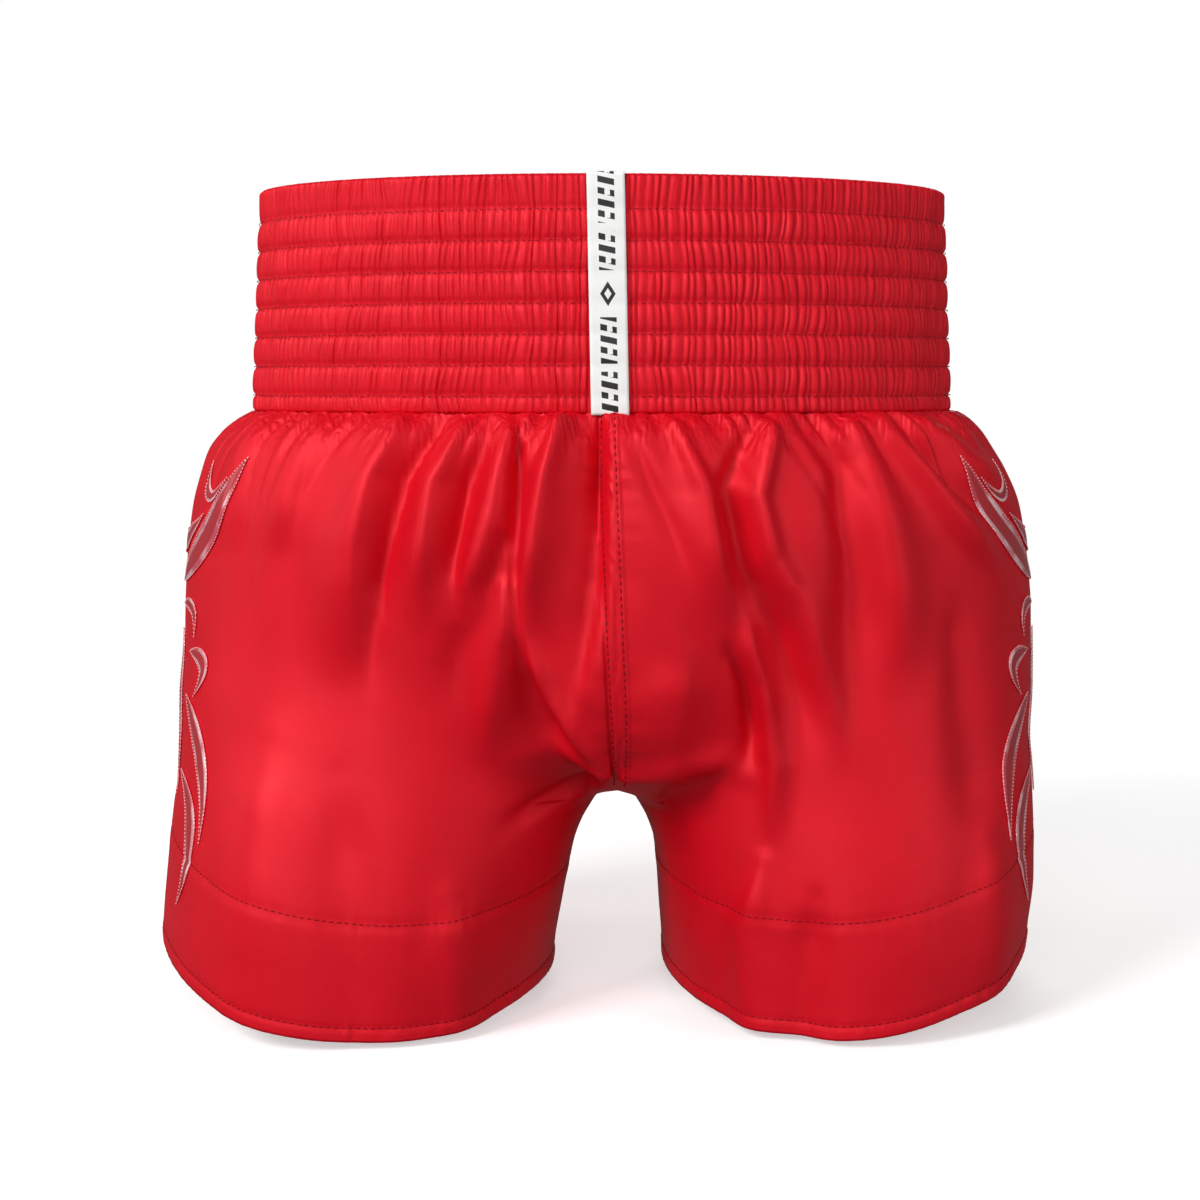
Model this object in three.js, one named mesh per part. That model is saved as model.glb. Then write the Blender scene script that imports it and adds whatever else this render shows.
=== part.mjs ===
// Boxing shorts with a seven-channel gathered elastic waistband, two wrapped leg panels, wide hem facings
// and foil blades on the sides. Millimetres, +Z up, the back of the garment faces -Y, origin on the waist rim.
import * as THREE from "three";

// Waistband
const WAIST_HALF_WIDTH = 155;
const WAIST_HALF_DEPTH = 105;
const BAND_HEIGHT = 98;
const BAND_FLARE_WIDTH = 5;
const BAND_FLARE_DEPTH = 2;
const FIRST_CHANNEL = 14.5;
const CHANNEL_PITCH = 12.7;
const CHANNELS = 7;
const CASING_WALL = 1;
const CASING_DEPTH = 5.2;
const STITCH_PINCH = 0.6;
const FOLD_ROUND = 1.4;
const ELASTIC_THICKNESS = 1;
const ELASTIC_DEPTH = 2.1;
const ELASTIC_MARGIN = 0.85;

// Leg panels
const HEM_Z = -360;
const HIP_Z = -170;
const CROTCH_Z = -267;
const SHEET = 1;
const TUCK_DEPTH = 1.4;
const TUCK_TOP = -91.5;
const SEAM_GAP = 0.2;
const LAP_U = 0.011;
const UNDERLAP_DEPTH = 1.4;
const LEG_DEPTH = 115;
const LEG_CENTRE_Y = -4;
const SEAT_BLEND_U = 0.18;
const SEAT_BLEND_TOP = -150;
const SEAT_BLEND_END = -330;
const HALF_STEPS = 32;
const SEAT_STEPS = 7;
const SEAT_POWER = 3;
const LAP_LAST_SEAT_STEP = 4;
const SIDE_RISE = 24;
const INSEAM_RISE = 7;

// Stations down the garment, each [z, value]
const HALF_WIDTH = [
  [-99.6, 161], [-103, 167], [-108, 173], [-115, 178.5], [-125, 183.5], [-140, 189], [-155, 191.5],
  [-170, 192.5], [-226, 194.5], [-271, 195], [-326, 197.5], [-360, 197.5],
];
const BACK_DEPTH = [[-99.6, 106], [-103, 110.5], [-108, 114], [-125, 118.5], [-155, 122.5], [-271, 122.5]];
const FRONT_DEPTH = [[-99.6, 106], [-103, 107.5], [-125, 109.5], [-170, 110], [-271, 108]];
const INNER_GAP = [[-267, 0.2], [-270, 5], [-276, 10], [-284, 14], [-294, 17.5], [-309.5, 20.5], [-342, 22.5], [-360, 24]];

// Hem facing, sewn inside the hem
const FACING_THICKNESS = 0.8;
const FACING_DEPTH = 1.4;
const FACING_ROWS = [-309.5, -325, -342, -357.5];

// Label tape folded over the back of the rim
const LABEL_WIDTH = 15.6;
const LABEL_THICKNESS = 0.5;
const LABEL_GAP = 0.6;
const LABEL_INSIDE = 25;

// Side blades: each is a curved leaf from tail to tip, [mm towards the back from the side line, z]
const BLADE_LIFT = 0.6;
const BLADE_THICKNESS = 0.7;
const BLADE_STEPS = 10;
const BLADES = [
  { name: "claw_blade", tail: [36, -120], bend: [42, -146], tip: [57, -127], half: 2.6 },
  { name: "upper_blade", tail: [14, -174], bend: [54, -158], tip: [64, -118], half: 7 },
  { name: "hip_blade", tail: [-24, -158], bend: [14, -162], tip: [41, -143], half: 5 },
  { name: "spur_blade", tail: [22, -184], bend: [44, -180], tip: [41, -197], half: 2.8 },
  { name: "side_blade", tail: [18, -196], bend: [22, -240], tip: [28, -290], half: 5 },
  { name: "hook_blade", tail: [37, -204], bend: [66, -203], tip: [49, -223], half: 4 },
  { name: "long_blade", tail: [38, -224], bend: [70, -248], tip: [79, -298], half: 6 },
  { name: "hem_blade", tail: [36, -272], bend: [84, -292], tip: [60, -332], half: 6 },
];

const finish = (color, roughness, metalness = 0) =>
  new THREE.MeshStandardMaterial({ color, roughness, metalness });
const SATIN = finish("#c3122a", 0.38);
const SATIN_INSIDE = finish("#a90f24", 0.45);
const ELASTIC = finish("#ece8e0", 0.8);
const LABEL = finish("#f4f2ee", 0.6);
const FOIL = finish("#e3a3ad", 0.15, 0.4);

const lerp = THREE.MathUtils.lerp;
const smoothstep = THREE.MathUtils.smoothstep;

/** Linear value of a station table at height z; stations run downwards. */
function station(table, z) {
  if (z >= table[0][0]) return table[0][1];
  for (let k = 1; k < table.length; k += 1) {
    const [z0, v0] = table[k - 1];
    const [z1, v1] = table[k];
    if (z >= z1) return lerp(v0, v1, (z - z0) / (z1 - z0));
  }
  return table[table.length - 1][1];
}

/** A closed mesh from vertex positions and polygons, turned outwards if it came out inside out. */
function solid(name, points, polygons, material) {
  const triangles = polygons.flatMap((p) => p.slice(2).map((_, k) => [p[0], p[k + 1], p[k + 2]]));
  const volume = triangles.reduce(
    (sum, [a, b, c]) => sum + points[a].dot(new THREE.Vector3().crossVectors(points[b], points[c])), 0);
  const index = triangles.flatMap(([a, b, c]) => (volume > 0 ? [a, b, c] : [a, c, b]));
  const geometry = new THREE.BufferGeometry().setFromPoints(points);
  geometry.setIndex(index);
  geometry.computeVertexNormals();
  const mesh = new THREE.Mesh(geometry, material);
  mesh.name = name;
  return mesh;
}

/** A ring around the waist: profile points are [depth inside the band face, z]. */
function waistRing(name, profile, material) {
  const around = 2 * HALF_STEPS;
  const points = [];
  const polygons = [];
  for (let s = 0; s < around; s += 1) {
    for (const [depth, z] of profile) points.push(bandPoint((2 * Math.PI * s) / around, z, depth));
  }
  const size = profile.length;
  for (let s = 0; s < around; s += 1) {
    for (let k = 0; k < size; k += 1) {
      const next = ((s + 1) % around) * size;
      const up = (k + 1) % size;
      polygons.push([s * size + k, next + k, next + up, s * size + up]);
    }
  }
  return solid(name, points, polygons, material);
}

/** A point of the waistband at an angle round the waist, a height, and a depth inside its outer face. */
function bandPoint(angle, z, depth) {
  const down = Math.min(Math.max(-z, 0), BAND_HEIGHT) / BAND_HEIGHT;
  const width = WAIST_HALF_WIDTH + BAND_FLARE_WIDTH * down - depth;
  const deep = WAIST_HALF_DEPTH + BAND_FLARE_DEPTH * down - depth;
  return new THREE.Vector3(width * Math.cos(angle), deep * Math.sin(angle), z);
}

/** Height of stitch row k, row 0 being the rim itself. */
const stitchRow = (k) => (k === 0 ? 0 : -(FIRST_CHANNEL + CHANNEL_PITCH * (k - 1)));

/** The casing: one strip of cloth folded over the rim, pinched in at every row of stitching. */
function casing() {
  const inner = CASING_DEPTH - CASING_WALL;
  const profile = [[0, -BAND_HEIGHT]];
  for (let k = CHANNELS; k >= 1; k -= 1) {
    profile.push([STITCH_PINCH, stitchRow(k)]);
    profile.push([0, (Math.max(stitchRow(k - 1), -BAND_HEIGHT) + stitchRow(k)) / 2]);
  }
  profile.push([0, -FOLD_ROUND], [FOLD_ROUND / 2, -FOLD_ROUND / 4], [FOLD_ROUND, 0]);
  profile.push([CASING_DEPTH - FOLD_ROUND, 0], [CASING_DEPTH - FOLD_ROUND / 2, -FOLD_ROUND / 4]);
  profile.push([CASING_DEPTH, -FOLD_ROUND], [CASING_DEPTH, -BAND_HEIGHT], [inner, -BAND_HEIGHT]);
  profile.push([inner, -FOLD_ROUND], [CASING_WALL, -FOLD_ROUND], [CASING_WALL, -BAND_HEIGHT]);
  return waistRing("waistband_casing", profile, SATIN);
}

/** One flat elastic lying in channel k of the casing. */
function elastic(k) {
  const top = Math.min(stitchRow(k - 1) - ELASTIC_MARGIN, -FOLD_ROUND - ELASTIC_MARGIN);
  const bottom = stitchRow(k) + ELASTIC_MARGIN;
  const back = ELASTIC_DEPTH + ELASTIC_THICKNESS;
  const profile = [[ELASTIC_DEPTH, bottom], [ELASTIC_DEPTH, top], [back, top], [back, bottom]];
  return waistRing(`elastic_row_${k}`, profile, ELASTIC);
}

/** Outer face of the right leg panel: u runs from centre back (0) round the side to centre front (1). */
function panelPoint(u, z) {
  const turn = Math.PI * u;
  if (z > -99) {
    const point = bandPoint(turn - Math.PI / 2, z, TUCK_DEPTH);
    point.x = Math.max(point.x, SEAM_GAP);
    return point;
  }
  const width = station(HALF_WIDTH, z);
  const depth = station(u < 0.5 ? BACK_DEPTH : FRONT_DEPTH, z);
  const drop = THREE.MathUtils.clamp((HIP_Z - z) / (HIP_Z - CROTCH_Z), 0, 1);
  const seat = 1 - (1 - drop ** SEAT_POWER) ** (1 / SEAT_POWER);
  const side = smoothstep(SEAT_BLEND_TOP - z, 0, SEAT_BLEND_TOP - SEAT_BLEND_END);
  const fromSeam = smoothstep(Math.min(u, 1 - u), 0, SEAT_BLEND_U);
  const leg = lerp(seat, side, fromSeam);
  const gap = station(INNER_GAP, z);
  const hip = new THREE.Vector2(width * Math.sin(turn), -depth * Math.cos(turn));
  const centre = (width + gap) / 2;
  const tube = new THREE.Vector2(
    centre - (width - gap) / 2 * Math.cos(2 * turn),
    LEG_CENTRE_Y * fromSeam - LEG_DEPTH * Math.sin(2 * turn));
  const point = hip.lerp(tube, leg);
  return new THREE.Vector3(Math.max(point.x, SEAM_GAP), point.y, z + hemRise(u, z));
}

/** How far the curved hem lifts the cloth: most at the side, a little at the inseam. */
function hemRise(u, z) {
  const w = Math.min(u, 1 - u);
  return SIDE_RISE * smoothstep(w, 0.21, 0.5) * smoothstep(-z, 215, 305)
    + INSEAM_RISE * (1 - smoothstep(w, 0.04, 0.2)) * smoothstep(-z, 272, 308);
}

/** Rows of the panels from the tucked-in top to the hem, closer together where the seat curve turns under. */
function panelRows() {
  const rows = [TUCK_TOP, -97.9, -99.6, -103, -108, -115, -125, -140, -155];
  for (let k = 0; k <= SEAT_STEPS; k += 1) {
    const drop = Math.sin((Math.PI / 2) * (k / SEAT_STEPS)) ** (2 / SEAT_POWER);
    rows.push(HIP_Z + (CROTCH_Z - HIP_Z) * drop);
  }
  return rows.concat([-270, -276, -284, -294], FACING_ROWS, [HEM_Z]);
}

const ROWS = panelRows();
const LAST_LAP_ROW = ROWS.indexOf(HIP_Z) + LAP_LAST_SEAT_STEP;
const COLUMNS = [0.0003, LAP_U, ...Array.from({ length: HALF_STEPS - 1 }, (_, k) => (k + 1) / HALF_STEPS),
  1 - LAP_U, 0.9997];
const LAST_COLUMN = COLUMNS.length - 1;

/** The right panel's outer face sampled once: a point and an outward normal at every row and column. */
function panelGrid() {
  const points = ROWS.map((z) => COLUMNS.map((u) => panelPoint(u, z)));
  return points.map((row, r) => row.map((point, c) => {
    const across = row[Math.min(c + 1, LAST_COLUMN)].clone().sub(row[Math.max(c - 1, 0)]);
    const below = points[Math.min(r + 1, ROWS.length - 1)][c];
    const along = below.clone().sub(points[Math.max(r - 1, 0)][c]);
    return { point, normal: across.cross(along).negate().normalize() };
  }));
}

const GRID = panelGrid();

/** A point a given depth inside the panel's outer face, mirrored for the left leg. */
function inside({ point, normal }, depth, sign) {
  const moved = point.clone().addScaledVector(normal, -depth);
  moved.x *= sign;
  return moved;
}

/** A closed sheet from paired outer and inner vertices and the polygons of its outer face. */
function sheet(name, pairs, cells, material) {
  const count = pairs.length;
  const points = pairs.map((p) => p[0]).concat(pairs.map((p) => p[1]));
  const polygons = [...cells];
  const edges = new Set();
  for (const cell of cells) {
    polygons.push(cell.map((v) => v + count).reverse());
    cell.forEach((v, k) => edges.add(`${v},${cell[(k + 1) % cell.length]}`));
  }
  for (const edge of edges) {
    const [a, b] = edge.split(",").map(Number);
    if (!edges.has(`${b},${a}`)) polygons.push([b, a, a + count, b + count]);
  }
  return solid(name, points, polygons, material);
}

/** Where the left panel's edge passes under the right one: the fold line on the centre plane. */
function underlapFold({ point, normal }) {
  const flat = new THREE.Vector3(0, normal.y, normal.z).divideScalar(normal.y ** 2 + normal.z ** 2);
  const outer = new THREE.Vector3(0, point.y, point.z).addScaledVector(flat, -UNDERLAP_DEPTH);
  const inner = new THREE.Vector3(0, point.y, point.z).addScaledVector(flat, -UNDERLAP_DEPTH - SHEET);
  return [outer, inner];
}

/** One leg panel: a single wrapped sheet, closed edge to edge down the inseam. */
function legPanel(side) {
  const sign = side === "left" ? -1 : 1;
  const pairs = [];
  const cells = [];
  const at = GRID.map((row, r) => row.map((node, c) => {
    const laps = sign < 0 && r <= LAST_LAP_ROW + 1 && (c === 0 || c === LAST_COLUMN);
    pairs.push(laps ? underlapFold(node) : [inside(node, 0, sign), inside(node, SHEET, sign)]);
    return pairs.length - 1;
  }));
  for (let r = 0; r + 1 < ROWS.length; r += 1) {
    for (let c = 0; c < LAST_COLUMN; c += 1) {
      cells.push([at[r][c], at[r + 1][c], at[r + 1][c + 1], at[r][c + 1]]);
    }
  }
  if (sign < 0) {
    addUnderlap(1, 0, at, pairs, cells, false);
    addUnderlap(LAST_COLUMN - 1, LAST_COLUMN, at, pairs, cells, true);
  }
  return sheet(`${side}_leg_panel`, pairs, cells, SATIN);
}

/** The strip of the left panel that runs on under the right panel's edge at centre back or front. */
function addUnderlap(source, edge, at, pairs, cells, flip) {
  const strip = [];
  for (let r = 0; r <= LAST_LAP_ROW; r += 1) {
    const node = GRID[r][source];
    pairs.push([inside(node, UNDERLAP_DEPTH, 1), inside(node, UNDERLAP_DEPTH + SHEET, 1)]);
    strip.push(pairs.length - 1);
  }
  const turn = (cell) => (flip ? cell.reverse() : cell);
  for (let r = 0; r < LAST_LAP_ROW; r += 1) {
    cells.push(turn([strip[r], strip[r + 1], at[r + 1][edge], at[r][edge]]));
  }
  cells.push(turn([strip[LAST_LAP_ROW], at[LAST_LAP_ROW + 1][edge], at[LAST_LAP_ROW][edge]]));
}

/** The facing that backs the hem of one leg. */
function hemFacing(side) {
  const sign = side === "left" ? -1 : 1;
  const pairs = [];
  const cells = [];
  const at = FACING_ROWS.map((z) => GRID[ROWS.indexOf(z)].map((node) => {
    pairs.push([inside(node, FACING_DEPTH, sign), inside(node, FACING_DEPTH + FACING_THICKNESS, sign)]);
    return pairs.length - 1;
  }));
  for (let r = 0; r + 1 < at.length; r += 1) {
    for (let c = 0; c < LAST_COLUMN; c += 1) {
      cells.push([at[r][c], at[r + 1][c], at[r + 1][c + 1], at[r][c + 1]]);
    }
  }
  return sheet(`${side}_hem_facing`, pairs, cells, SATIN_INSIDE);
}

/** The label: a narrow tape lying on the band's back, folded over the rim and a little way down inside. */
function labelTape() {
  const top = LABEL_GAP;
  const outerTop = -WAIST_HALF_DEPTH - LABEL_GAP;
  const outerBottom = outerTop - BAND_FLARE_DEPTH;
  const innerTop = -WAIST_HALF_DEPTH + CASING_DEPTH + LABEL_GAP;
  const innerBottom = innerTop - BAND_FLARE_DEPTH * LABEL_INSIDE / BAND_HEIGHT;
  const t = LABEL_THICKNESS;
  const outline = [
    [outerBottom, -BAND_HEIGHT + 0.4], [outerTop, top], [innerTop, top], [innerBottom, -LABEL_INSIDE],
    [innerBottom + t, -LABEL_INSIDE], [innerTop + t, top + t], [outerTop - t, top + t],
    [outerBottom - t, -BAND_HEIGHT + 0.4],
  ];
  const shape = new THREE.Shape(outline.map(([y, z]) => new THREE.Vector2(y, z)));
  const geometry = new THREE.ExtrudeGeometry(shape, { depth: LABEL_WIDTH, bevelEnabled: false });
  geometry.translate(0, 0, -LABEL_WIDTH / 2);
  const axes = new THREE.Matrix4().makeBasis(
    new THREE.Vector3(0, 1, 0), new THREE.Vector3(0, 0, 1), new THREE.Vector3(1, 0, 0));
  geometry.applyMatrix4(axes);
  const mesh = new THREE.Mesh(geometry, LABEL);
  mesh.name = "back_label_tape";
  return mesh;
}

/** The panel's face read between grid points. */
function panelAt(u, z) {
  const r = Math.min(Math.max(ROWS.findIndex((row) => row <= z), 1), ROWS.length - 1);
  const c = Math.min(Math.max(COLUMNS.findIndex((column) => column >= u), 1), LAST_COLUMN);
  const down = (z - ROWS[r - 1]) / (ROWS[r] - ROWS[r - 1]);
  const over = (u - COLUMNS[c - 1]) / (COLUMNS[c] - COLUMNS[c - 1]);
  const read = (key) => GRID[r - 1][c - 1][key].clone().lerp(GRID[r - 1][c][key], over)
    .lerp(GRID[r][c - 1][key].clone().lerp(GRID[r][c][key], over), down);
  return { point: read("point"), normal: read("normal").normalize() };
}

/** Panel coordinate u of a place a number of millimetres from the side line towards the back. */
function sideU(towardsBack, z) {
  const pace = panelPoint(0.54, z).distanceTo(panelPoint(0.46, z)) / 0.08;
  return 0.5 - towardsBack / pace;
}

/** One foil blade lying on the side of a leg panel. */
function blade({ name, tail, bend, tip, half }, side) {
  const sign = side === "left" ? -1 : 1;
  const curve = new THREE.QuadraticBezierCurve(
    new THREE.Vector2(...tail), new THREE.Vector2(...bend), new THREE.Vector2(...tip));
  const pairs = [];
  const cells = [];
  const pair = (place) => {
    const node = panelAt(sideU(place.x, place.y), place.y);
    pairs.push([inside(node, -BLADE_LIFT - BLADE_THICKNESS, sign), inside(node, -BLADE_LIFT, sign)]);
    return pairs.length - 1;
  };
  let previous = null;
  for (let k = 0; k <= BLADE_STEPS; k += 1) {
    const t = k / BLADE_STEPS;
    const centre = curve.getPoint(t);
    const ends = k === 0 || k === BLADE_STEPS;
    const tangent = curve.getTangent(t);
    const out = new THREE.Vector2(-tangent.y, tangent.x).multiplyScalar(half * Math.sin(Math.PI * t ** 0.8));
    const row = ends
      ? [pair(centre)]
      : [pair(centre.clone().add(out)), pair(centre), pair(centre.clone().sub(out))];
    if (previous) cells.push(...bridge(previous, row));
    previous = row;
  }
  return sheet(`${side}_${name}`, pairs, cells, FOIL);
}

/** Polygons joining two neighbouring rows of a blade, a pointed end being a row of one. */
function bridge(from, to) {
  if (from.length === 1) return [[from[0], to[1], to[0]], [from[0], to[2], to[1]]];
  if (to.length === 1) return [[from[0], from[1], to[0]], [from[1], from[2], to[0]]];
  return [[from[0], from[1], to[1], to[0]], [from[1], from[2], to[2], to[1]]];
}

const shorts = new THREE.Group();
shorts.name = "boxing_shorts";
shorts.add(casing());
for (let k = 1; k <= CHANNELS; k += 1) shorts.add(elastic(k));
shorts.add(labelTape());
for (const side of ["left", "right"]) {
  shorts.add(legPanel(side), hemFacing(side));
  for (const design of BLADES) shorts.add(blade(design, side));
}

export default shorts;
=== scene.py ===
"""Boxing shorts: gathered satin waistband, two draped leg panels, hems, label tape and foil side blades."""

import logging
import math
from collections.abc import Callable, Sequence
from dataclasses import dataclass, field
from enum import Enum

import bpy
import numpy as np
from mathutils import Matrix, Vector


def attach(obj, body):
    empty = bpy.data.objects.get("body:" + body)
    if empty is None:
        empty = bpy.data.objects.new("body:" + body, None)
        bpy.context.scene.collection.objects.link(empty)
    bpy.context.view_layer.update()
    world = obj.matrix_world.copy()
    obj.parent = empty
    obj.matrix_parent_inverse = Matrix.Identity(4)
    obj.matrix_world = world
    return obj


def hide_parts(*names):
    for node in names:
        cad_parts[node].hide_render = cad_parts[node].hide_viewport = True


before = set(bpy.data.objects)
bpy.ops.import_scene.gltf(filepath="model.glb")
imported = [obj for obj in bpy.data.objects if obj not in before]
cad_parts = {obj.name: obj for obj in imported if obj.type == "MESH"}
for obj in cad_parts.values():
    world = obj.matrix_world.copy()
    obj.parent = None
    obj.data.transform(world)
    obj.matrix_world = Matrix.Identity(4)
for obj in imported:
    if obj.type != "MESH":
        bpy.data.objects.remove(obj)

LOG = logging.getLogger("shorts")
MM = 0.001
Array = np.ndarray
Stations = tuple[tuple[float, float], ...]
Faces = list[tuple[int, ...]]


class Slot(str, Enum):
    """Names of the record's material slots, which each stitch run carries."""

    SATIN = "satin_red"
    FACING = "satin_facing"
    ELASTIC = "elastic_white"
    LABEL = "label_white"
    FOIL = "foil_pink"


class Side(Enum):
    """Which leg a piece belongs to, with the sign of its x coordinate."""

    LEFT = -1
    RIGHT = 1

    @property
    def word(self) -> str:
        """Name used in piece names."""
        return self.name.lower()


# Small numeric helpers


def smooth(low: float, high: float, x: Array | float) -> Array:
    """Smoothstep from 0 at low to 1 at high."""
    t = np.clip((np.asarray(x, float) - low) / (high - low), 0.0, 1.0)
    return t * t * (3.0 - 2.0 * t)


def profile(stations: Stations, z: Array | float) -> Array:
    """Smooth monotone curve through stations.

    Args:
        stations: (height, value) pairs from the top down.
        z: Heights to read, in millimetres.

    Returns:
        The value at each height, held constant beyond both ends.
    """
    zs = np.array([s[0] for s in stations][::-1], float)
    vs = np.array([s[1] for s in stations][::-1], float)
    step = np.diff(zs)
    slope = np.diff(vs) / step
    tangent = np.zeros_like(vs)
    same = slope[:-1] * slope[1:] > 0
    tangent[1:-1][same] = (2 * slope[:-1] * slope[1:] / (slope[:-1] + slope[1:] + 1e-12))[same]
    z = np.clip(np.asarray(z, float), zs[0], zs[-1])
    k = np.clip(np.searchsorted(zs, z, side="right") - 1, 0, len(zs) - 2)
    t = (z - zs[k]) / step[k]
    h = step[k]
    return (
        vs[k] * (1 + 2 * t) * (1 - t) ** 2
        + tangent[k] * h * t * (1 - t) ** 2
        + vs[k + 1] * t * t * (3 - 2 * t)
        + tangent[k + 1] * h * t * t * (t - 1)
    )


def grid_normals(points: Array) -> Array:
    """Unit normals of a grid of points, rows by columns, from central differences."""
    across = np.gradient(points, axis=1)
    down = np.gradient(points, axis=0)
    normal = np.cross(down, across)
    return normal / np.maximum(np.linalg.norm(normal, axis=2, keepdims=True), 1e-9)


def blur_rows(values: Array, passes: int) -> Array:
    """Soften a grid along both directions.

    Args:
        values: Grid of values or vectors, rows by columns.
        passes: How many times to average each place with its neighbours.

    Returns:
        The softened grid.
    """
    out = values.copy()
    for _ in range(passes):
        inner = out.copy()
        inner[1:-1] = 0.25 * out[:-2] + 0.5 * out[1:-1] + 0.25 * out[2:]
        out = inner.copy()
        out[:, 1:-1] = 0.25 * inner[:, :-2] + 0.5 * inner[:, 1:-1] + 0.25 * inner[:, 2:]
    return out


class Wander:
    """A seeded smooth random function of one variable."""

    def __init__(self, seed: int, spacing: float, span: tuple[float, float]) -> None:
        """Draw the knots."""
        rng = np.random.default_rng(seed)
        count = int((span[1] - span[0]) / spacing) + 4
        self.start = span[0] - spacing
        self.spacing = spacing
        self.knots = rng.uniform(-1.0, 1.0, count)

    def __call__(self, x: Array | float) -> Array:
        """Value at x, between -1 and 1."""
        t = (np.asarray(x, float) - self.start) / self.spacing
        k = np.clip(np.floor(t).astype(int), 0, len(self.knots) - 2)
        f = np.clip(t - k, 0.0, 1.0)
        f = f * f * (3 - 2 * f)
        return self.knots[k] * (1 - f) + self.knots[k + 1] * f


# Shader building


@dataclass(frozen=True)
class Tone:
    """A colour given as 8-bit display values."""

    red: int
    green: int
    blue: int

    def rgba(self) -> tuple[float, float, float, float]:
        """Scene-linear colour with full alpha."""
        parts = [v / 255 for v in (self.red, self.green, self.blue)]
        linear = [v / 12.92 if v <= 0.04045 else ((v + 0.055) / 1.055) ** 2.4 for v in parts]
        return (linear[0], linear[1], linear[2], 1.0)


def math_operator(operation: str, swapped: bool = False) -> Callable[..., "Wire"]:
    """Method that adds the Math node of an operation, with its operands swapped if asked."""

    def apply(self: "Wire", *others: "Wire | float") -> "Wire":
        """Add the node and hand back its output."""
        operands = (*others, self) if swapped else (self, *others)
        return self.tree.node("ShaderNodeMath", {"operation": operation}, dict(enumerate(operands)))

    return apply


class Wire:
    """A node socket whose arithmetic adds Math nodes."""

    def __init__(self, tree: "Shader", socket: bpy.types.NodeSocket) -> None:
        """Wrap a socket of a tree."""
        self.tree = tree
        self.socket = socket

    __add__ = __radd__ = math_operator("ADD")
    __mul__ = __rmul__ = math_operator("MULTIPLY")
    __sub__ = math_operator("SUBTRACT")
    __rsub__ = math_operator("SUBTRACT", swapped=True)
    __truediv__ = math_operator("DIVIDE")
    __abs__ = math_operator("ABSOLUTE")
    __lt__ = math_operator("LESS_THAN")
    __gt__ = math_operator("GREATER_THAN")
    modulo = math_operator("FLOORED_MODULO")
    sine = math_operator("SINE")
    top = math_operator("MAXIMUM")
    low = math_operator("MINIMUM")

    def clamped(self) -> "Wire":
        """Value held between 0 and 1."""
        return self.top(0.0).low(1.0)


class Shader:
    """One material under construction."""

    def __init__(self, name: str) -> None:
        """Create the material with an empty tree."""
        self.material = bpy.data.materials.new(name)
        self.material.use_nodes = True
        self.tree = self.material.node_tree
        self.tree.nodes.clear()

    def node(
        self, kind: str, settings: dict | None = None, inputs: dict | None = None, output: int | str = 0
    ) -> Wire:
        """Add a node.

        Args:
            kind: Blender's node type.
            settings: Attributes set before the sockets are filled.
            inputs: Socket name or index to a value or a Wire.
            output: Which output to hand back.

        Returns:
            The chosen output.
        """
        made = self.tree.nodes.new(kind)
        for key, value in (settings or {}).items():
            setattr(made, key, value)
        for key, value in (inputs or {}).items():
            if isinstance(value, Wire):
                self.tree.links.new(value.socket, made.inputs[key])
            else:
                made.inputs[key].default_value = value
        return Wire(self, made.outputs[output])

    def place(self) -> Wire:
        """Object coordinates."""
        return self.node("ShaderNodeTexCoord", output="Object")

    def map(self, layer: str) -> Wire:
        """Coordinates of a UV map."""
        return self.node("ShaderNodeUVMap", {"uv_map": layer})

    def axes(self, where: Wire) -> tuple[Wire, ...]:
        """The three parts of a place."""
        node = self.tree.nodes.new("ShaderNodeSeparateXYZ")
        self.tree.links.new(where.socket, node.inputs[0])
        return tuple(Wire(self, part) for part in node.outputs)

    def stretched(self, where: Wire, up: float) -> Wire:
        """The same place with its height scaled, which draws a pattern out up and down."""
        return self.node("ShaderNodeVectorMath", {"operation": "MULTIPLY"}, {0: where, 1: (1.0, 1.0, up)})

    def noise(self, scale: float, detail: float = 2.0, where: Wire | None = None) -> Wire:
        """Noise value around 0.5."""
        inputs = {"Vector": where or self.place(), "Scale": scale, "Detail": detail}
        return self.node("ShaderNodeTexNoise", None, inputs)

    def blend(self, factor: Wire, first: tuple | Wire, second: tuple | Wire) -> Wire:
        """Colour mix from first to second."""
        inputs = {"Factor": factor, 6: first, 7: second}
        return self.node("ShaderNodeMix", {"data_type": "RGBA"}, inputs, 2)

    def finish(
        self, values: dict, bump: Wire | None = None, strength: float = 0.3, depth: float = 0.0004
    ) -> bpy.types.Material:
        """Close the tree with a Principled shader.

        Args:
            values: Sockets of the Principled shader.
            bump: Height for a bump, if any.
            strength: Bump strength.
            depth: Bump distance in metres.

        Returns:
            The finished material.
        """
        if bump is not None:
            inputs = {"Height": bump, "Strength": strength, "Distance": depth}
            values = {**values, "Normal": self.node("ShaderNodeBump", None, inputs)}
        surface = self.node("ShaderNodeBsdfPrincipled", None, values)
        self.node_out(surface)
        return self.material

    def node_out(self, surface: Wire) -> None:
        """Send a shader to the material output."""
        out = self.tree.nodes.new("ShaderNodeOutputMaterial")
        self.tree.links.new(surface.socket, out.inputs["Surface"])


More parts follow.
